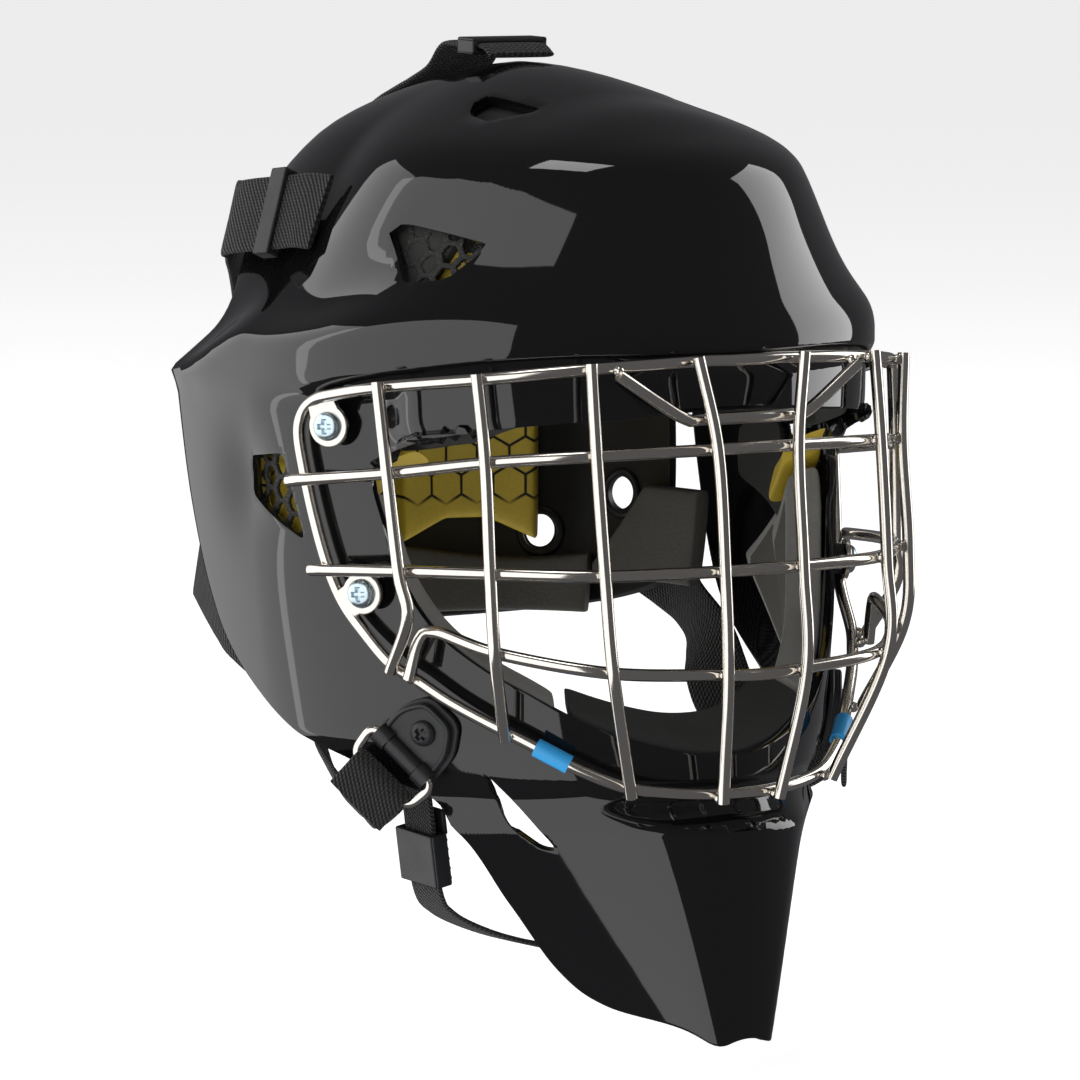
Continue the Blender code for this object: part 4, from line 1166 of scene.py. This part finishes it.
def upper_straps():
    """The crown strap and the side straps, each led through its slider to the backplate."""
    start, end = (np.array(point, float) for point in CROWN_SLIDER_ENDS)
    route = np.concatenate([[(0, 0.5, 153.9)], np.linspace(start, end, 4),
                            curve_through([end] + CROWN_STRAP, STRAP_STEP)[1:]])
    over_shell = route[:, 1] < 62
    route[over_shell] = pushed_clear(route[over_shell], (1, 0, 0), WEBBING, 1.5)
    strap = fine_ribbon("crown_webbing", route, (1, 0, 0), WEBBING, WEBBING_THICKNESS)
    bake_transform(strap)
    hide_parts("crown_strap")
    along = unit(end - start)
    centre = start + (end - start) * CROWN_SLIDER_PLACE
    dress(slide_bar("crown_slide", centre, along, (1, 0, 0), WEBBING, 9.0), "top_slider", "crown_slider")
    for name, side in SIDES:
        centre = mirrored(SIDE_SLIDER, side)
        along = unit(mirrored(SIDE_STRAP_DIRECTION, side))
        edge = mirrored((0.38, 0.0, -0.92), side)
        edge = unit(edge - along * (edge @ along))
        straight = [centre + along * step for step in (-13, -6, 0, 7, 14)]
        lead = [mirrored((79.5, -4, 106.5), side)]
        knots = [straight[-1]] + [mirrored(point, side) for point in SIDE_STRAP]
        trail = curve_through(knots, STRAP_STEP)[1:]
        route = np.concatenate([lead, straight, trail])
        last = unit(mirrored((0.1, 0.0, -1.0), side))
        mix = ramp(np.arange(len(route)) / len(route), 0.5, 0.85)[:, None]
        sides = edge * (1 - mix) + last * mix
        sides /= np.linalg.norm(sides, axis=1, keepdims=True)
        route[:1] = pushed_clear(route[:1], sides[:1], WEBBING, 1.5)
        strap = fine_ribbon(f"side_webbing_{name}", route, sides, WEBBING, WEBBING_THICKNESS)
        mirrored((81, 43.5, 102), side) * MM
        mirrored((41.5, 102, 77), side) * MM
        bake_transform(strap)
        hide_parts(f"side_strap_{name}")
        bar = slide_bar(f"side_slide_{name}", centre, along, edge, WEBBING, 7.0)
        dress(bar, f"slider_{name}", f"side_slider_{name}")


# ---- Backplate ----

def back_surface(turn, height, inset=0.0):
    """The backplate's outer face by plan angle from +Y in degrees and height, moved inwards by inset.

    Its plan is a superellipse of power 3 that shrinks with the square of the distance from its middle height.
    """
    angle = np.radians(turn)
    rise = (height - 18) / 60
    bulge = 1 - np.where(rise < 0, 0.12, 0.05) * rise * rise
    sideways = np.abs(np.sin(angle) / (BACK_HALF_WIDTH - inset)) ** 3
    rearwards = np.abs(np.cos(angle) / (BACK_DEPTH - inset)) ** 3
    reach = bulge / (sideways + rearwards) ** (1 / 3)
    return np.stack([reach * np.sin(angle), BACK_CENTRE + reach * np.cos(angle), height + 0 * turn], -1)


def back_slab(name, look, turns, low, high, thickness, edge_look=None, inset=3.3):
    """A slab on the backplate's inner face; low and high give its bottom and top by plan angle."""
    u, v, full = slab_grid(48, 32)
    turn = turns[0] + (turns[1] - turns[0]) * u
    height = low(turn) + (high(turn) - low(turn)) * v
    outer = back_surface(turn, height, inset + 0.5 * thickness * (1 - full))
    inner = back_surface(turn, height, inset + 0.5 * thickness * (1 + full))
    uv = np.stack([turn * 1.45, height], -1).reshape(-1, 2)
    return closed_slab(name, look, outer, inner, full, edge_look, np.concatenate([uv, uv]))


def foam_top(turn):
    """The rear foam's top edge, in shallow waves."""
    return -13 + 3 * np.cos(np.radians(turn * 5))


def wing_top(turn):
    """The side foam's top edge, which climbs from its rear corner."""
    return -17 + 27 * np.clip((np.abs(turn) - 53) / 14, 0, 1)


def pad_bottom(turn):
    """The yellow pads' lower edge: two rounded feet with a notch between them."""
    return -9 + 9 * np.clip(1.15 - np.abs(np.abs(turn) - 24) / 14, 0, 0.8)


def backplate():
    """The plate with its ringed holes, its foam and the yellow pads."""
    columns, rows = BACK_GRID
    u, v = np.meshgrid(np.linspace(-BACK_TURN, BACK_TURN, columns), np.linspace(0, 1, rows))
    low = -36 + 14 * np.abs(u / BACK_TURN) ** 3
    high = 72 - 40 * np.abs(u / BACK_TURN) ** 1.4
    height = low + (high - low) * v
    outside = np.full(u.shape, FAR_OFF)
    centres = []
    for point, radius in BACK_HOLES:
        for _, side in SIDES:
            middle = mirrored(point, side)
            turn = math.degrees(math.atan2(middle[0], middle[1] - BACK_CENTRE))
            scale = math.radians(1) * math.hypot(middle[0], middle[1] - BACK_CENTRE)
            centres.append((turn, middle[2], radius))
            a, b = (u - turn) * scale, height - middle[2]
            away = np.hypot(a, b)
            close = np.abs(away - radius) < 0.8
            u = np.where(close, turn + a / away * radius / scale, u)
            height = np.where(close, middle[2] + b / away * radius, height)
            outside = np.minimum(outside, np.where(close, 0, away - radius))
    faces = outer_faces(np.array(grid_faces(rows, columns)), outside.ravel())
    piece = faced_outwards(mesh_object("rear_plate", back_surface(u, height), faces, "plastic"))
    dress(bevelled(solidified(piece, BACK_WALL), 0.8, 2, 60), "rear", "backplate")
    for number, (turn, middle, radius) in enumerate(centres):
        angle = np.linspace(0, 2 * math.pi, 48, endpoint=False)
        scale = math.radians(1) * 100
        reach = radius + 1.6
        ring = back_surface(turn + reach * np.cos(angle) / scale, middle + reach * np.sin(angle), 3.2)
        dress(wire(f"hole_ring_{number + 1}", ring, 1.3, "plastic", closed=True), "rear")
    foam = back_slab("rear_foam", "grey_foam", (-52, 52), lambda turn: -33, foam_top, 8.0, "grey_foam")
    dress(foam, "rear", "back_foam")
    for name, side in SIDES:
        wing = back_slab(f"side_foam_{name}", "grey_foam", (side * 53, side * 87), lambda turn: -21, wing_top,
                         7.0, "grey_foam")
        dress(wing, "rear")
        pad = back_slab(f"rear_pad_{name}", "yellow", (side * 8, side * 40), pad_bottom, lambda turn: 44,
                        17.0)
        dress(pad, "rear", f"back_pad_{name}")


# ---- Room ----

def softbox(name, place, size, power):
    """A soft rectangular light that faces the origin; place and size in metres, power in watts."""
    light = bpy.data.lights.new(name, "AREA")
    light.shape = "RECTANGLE"
    light.size, light.size_y = size
    light.energy = power
    piece = linked(name, light)
    piece.location = place
    piece.rotation_euler = Vector(place).to_track_quat("Z", "Y").to_euler()
    piece.visible_camera = False


def room():
    """Camera, pale floor, white surroundings for the eye, and soft lights for the rest."""
    camera = bpy.data.cameras.new("camera")
    camera.lens = CAMERA_LENS
    camera.sensor_width = SENSOR
    camera.clip_end = 100.0
    viewer = linked("camera", camera)
    up = np.cross(CAMERA_FROM, CAMERA_RIGHT)
    place = CAMERA_DISTANCE * CAMERA_FROM + CAMERA_SHIFT[0] * CAMERA_RIGHT + CAMERA_SHIFT[1] * up
    viewer.matrix_world = placing_of(place, CAMERA_RIGHT, up, CAMERA_FROM)
    bpy.context.scene.camera = viewer

    world = bpy.data.worlds.new("room")
    world.use_nodes = True
    bpy.context.scene.world = world
    tree = world.node_tree
    seen = tree.nodes.new("ShaderNodeLightPath")
    shade = tree.nodes["Background"]
    mix = tree.nodes.new("ShaderNodeMix")
    mix.data_type = "RGBA"
    mix.inputs[6].default_value = (0.10, 0.10, 0.105, 1)
    mix.inputs[7].default_value = (1, 1, 1, 1)
    tree.links.new(seen.outputs["Is Camera Ray"], mix.inputs[0])
    tree.links.new(mix.outputs[2], shade.inputs["Color"])

    bpy.ops.mesh.primitive_plane_add(size=40, location=(0, 0, FLOOR_HEIGHT))
    floor = bpy.context.object
    floor.name = "floor"
    white = Look("floor_white", (0.9, 0.9, 0.9), 0.9, Emission_Color=(1, 1, 1, 1), Emission_Strength=0.75)
    floor.data.materials.append(white.material)
    floor.visible_glossy = False

    softbox("left_box", (-3.1, -0.2, 0.25), (6.0, 5.4), 135)
    softbox("rear_left_box", (-2.0, 2.9, 0.25), (2.6, 5.4), 58)
    softbox("right_box", (2.8, -0.5, 0.9), (1.7, 2.6), 34)
    softbox("top_box", (-0.4, -0.2, 3.0), (0.9, 0.9), 10)
    bpy.context.scene.view_settings.view_transform = "Standard"


room()
shell()
liner()
vent_screens()
RIM = cage()
fixings(RIM)
clips()
sling()
upper_straps()
backplate()
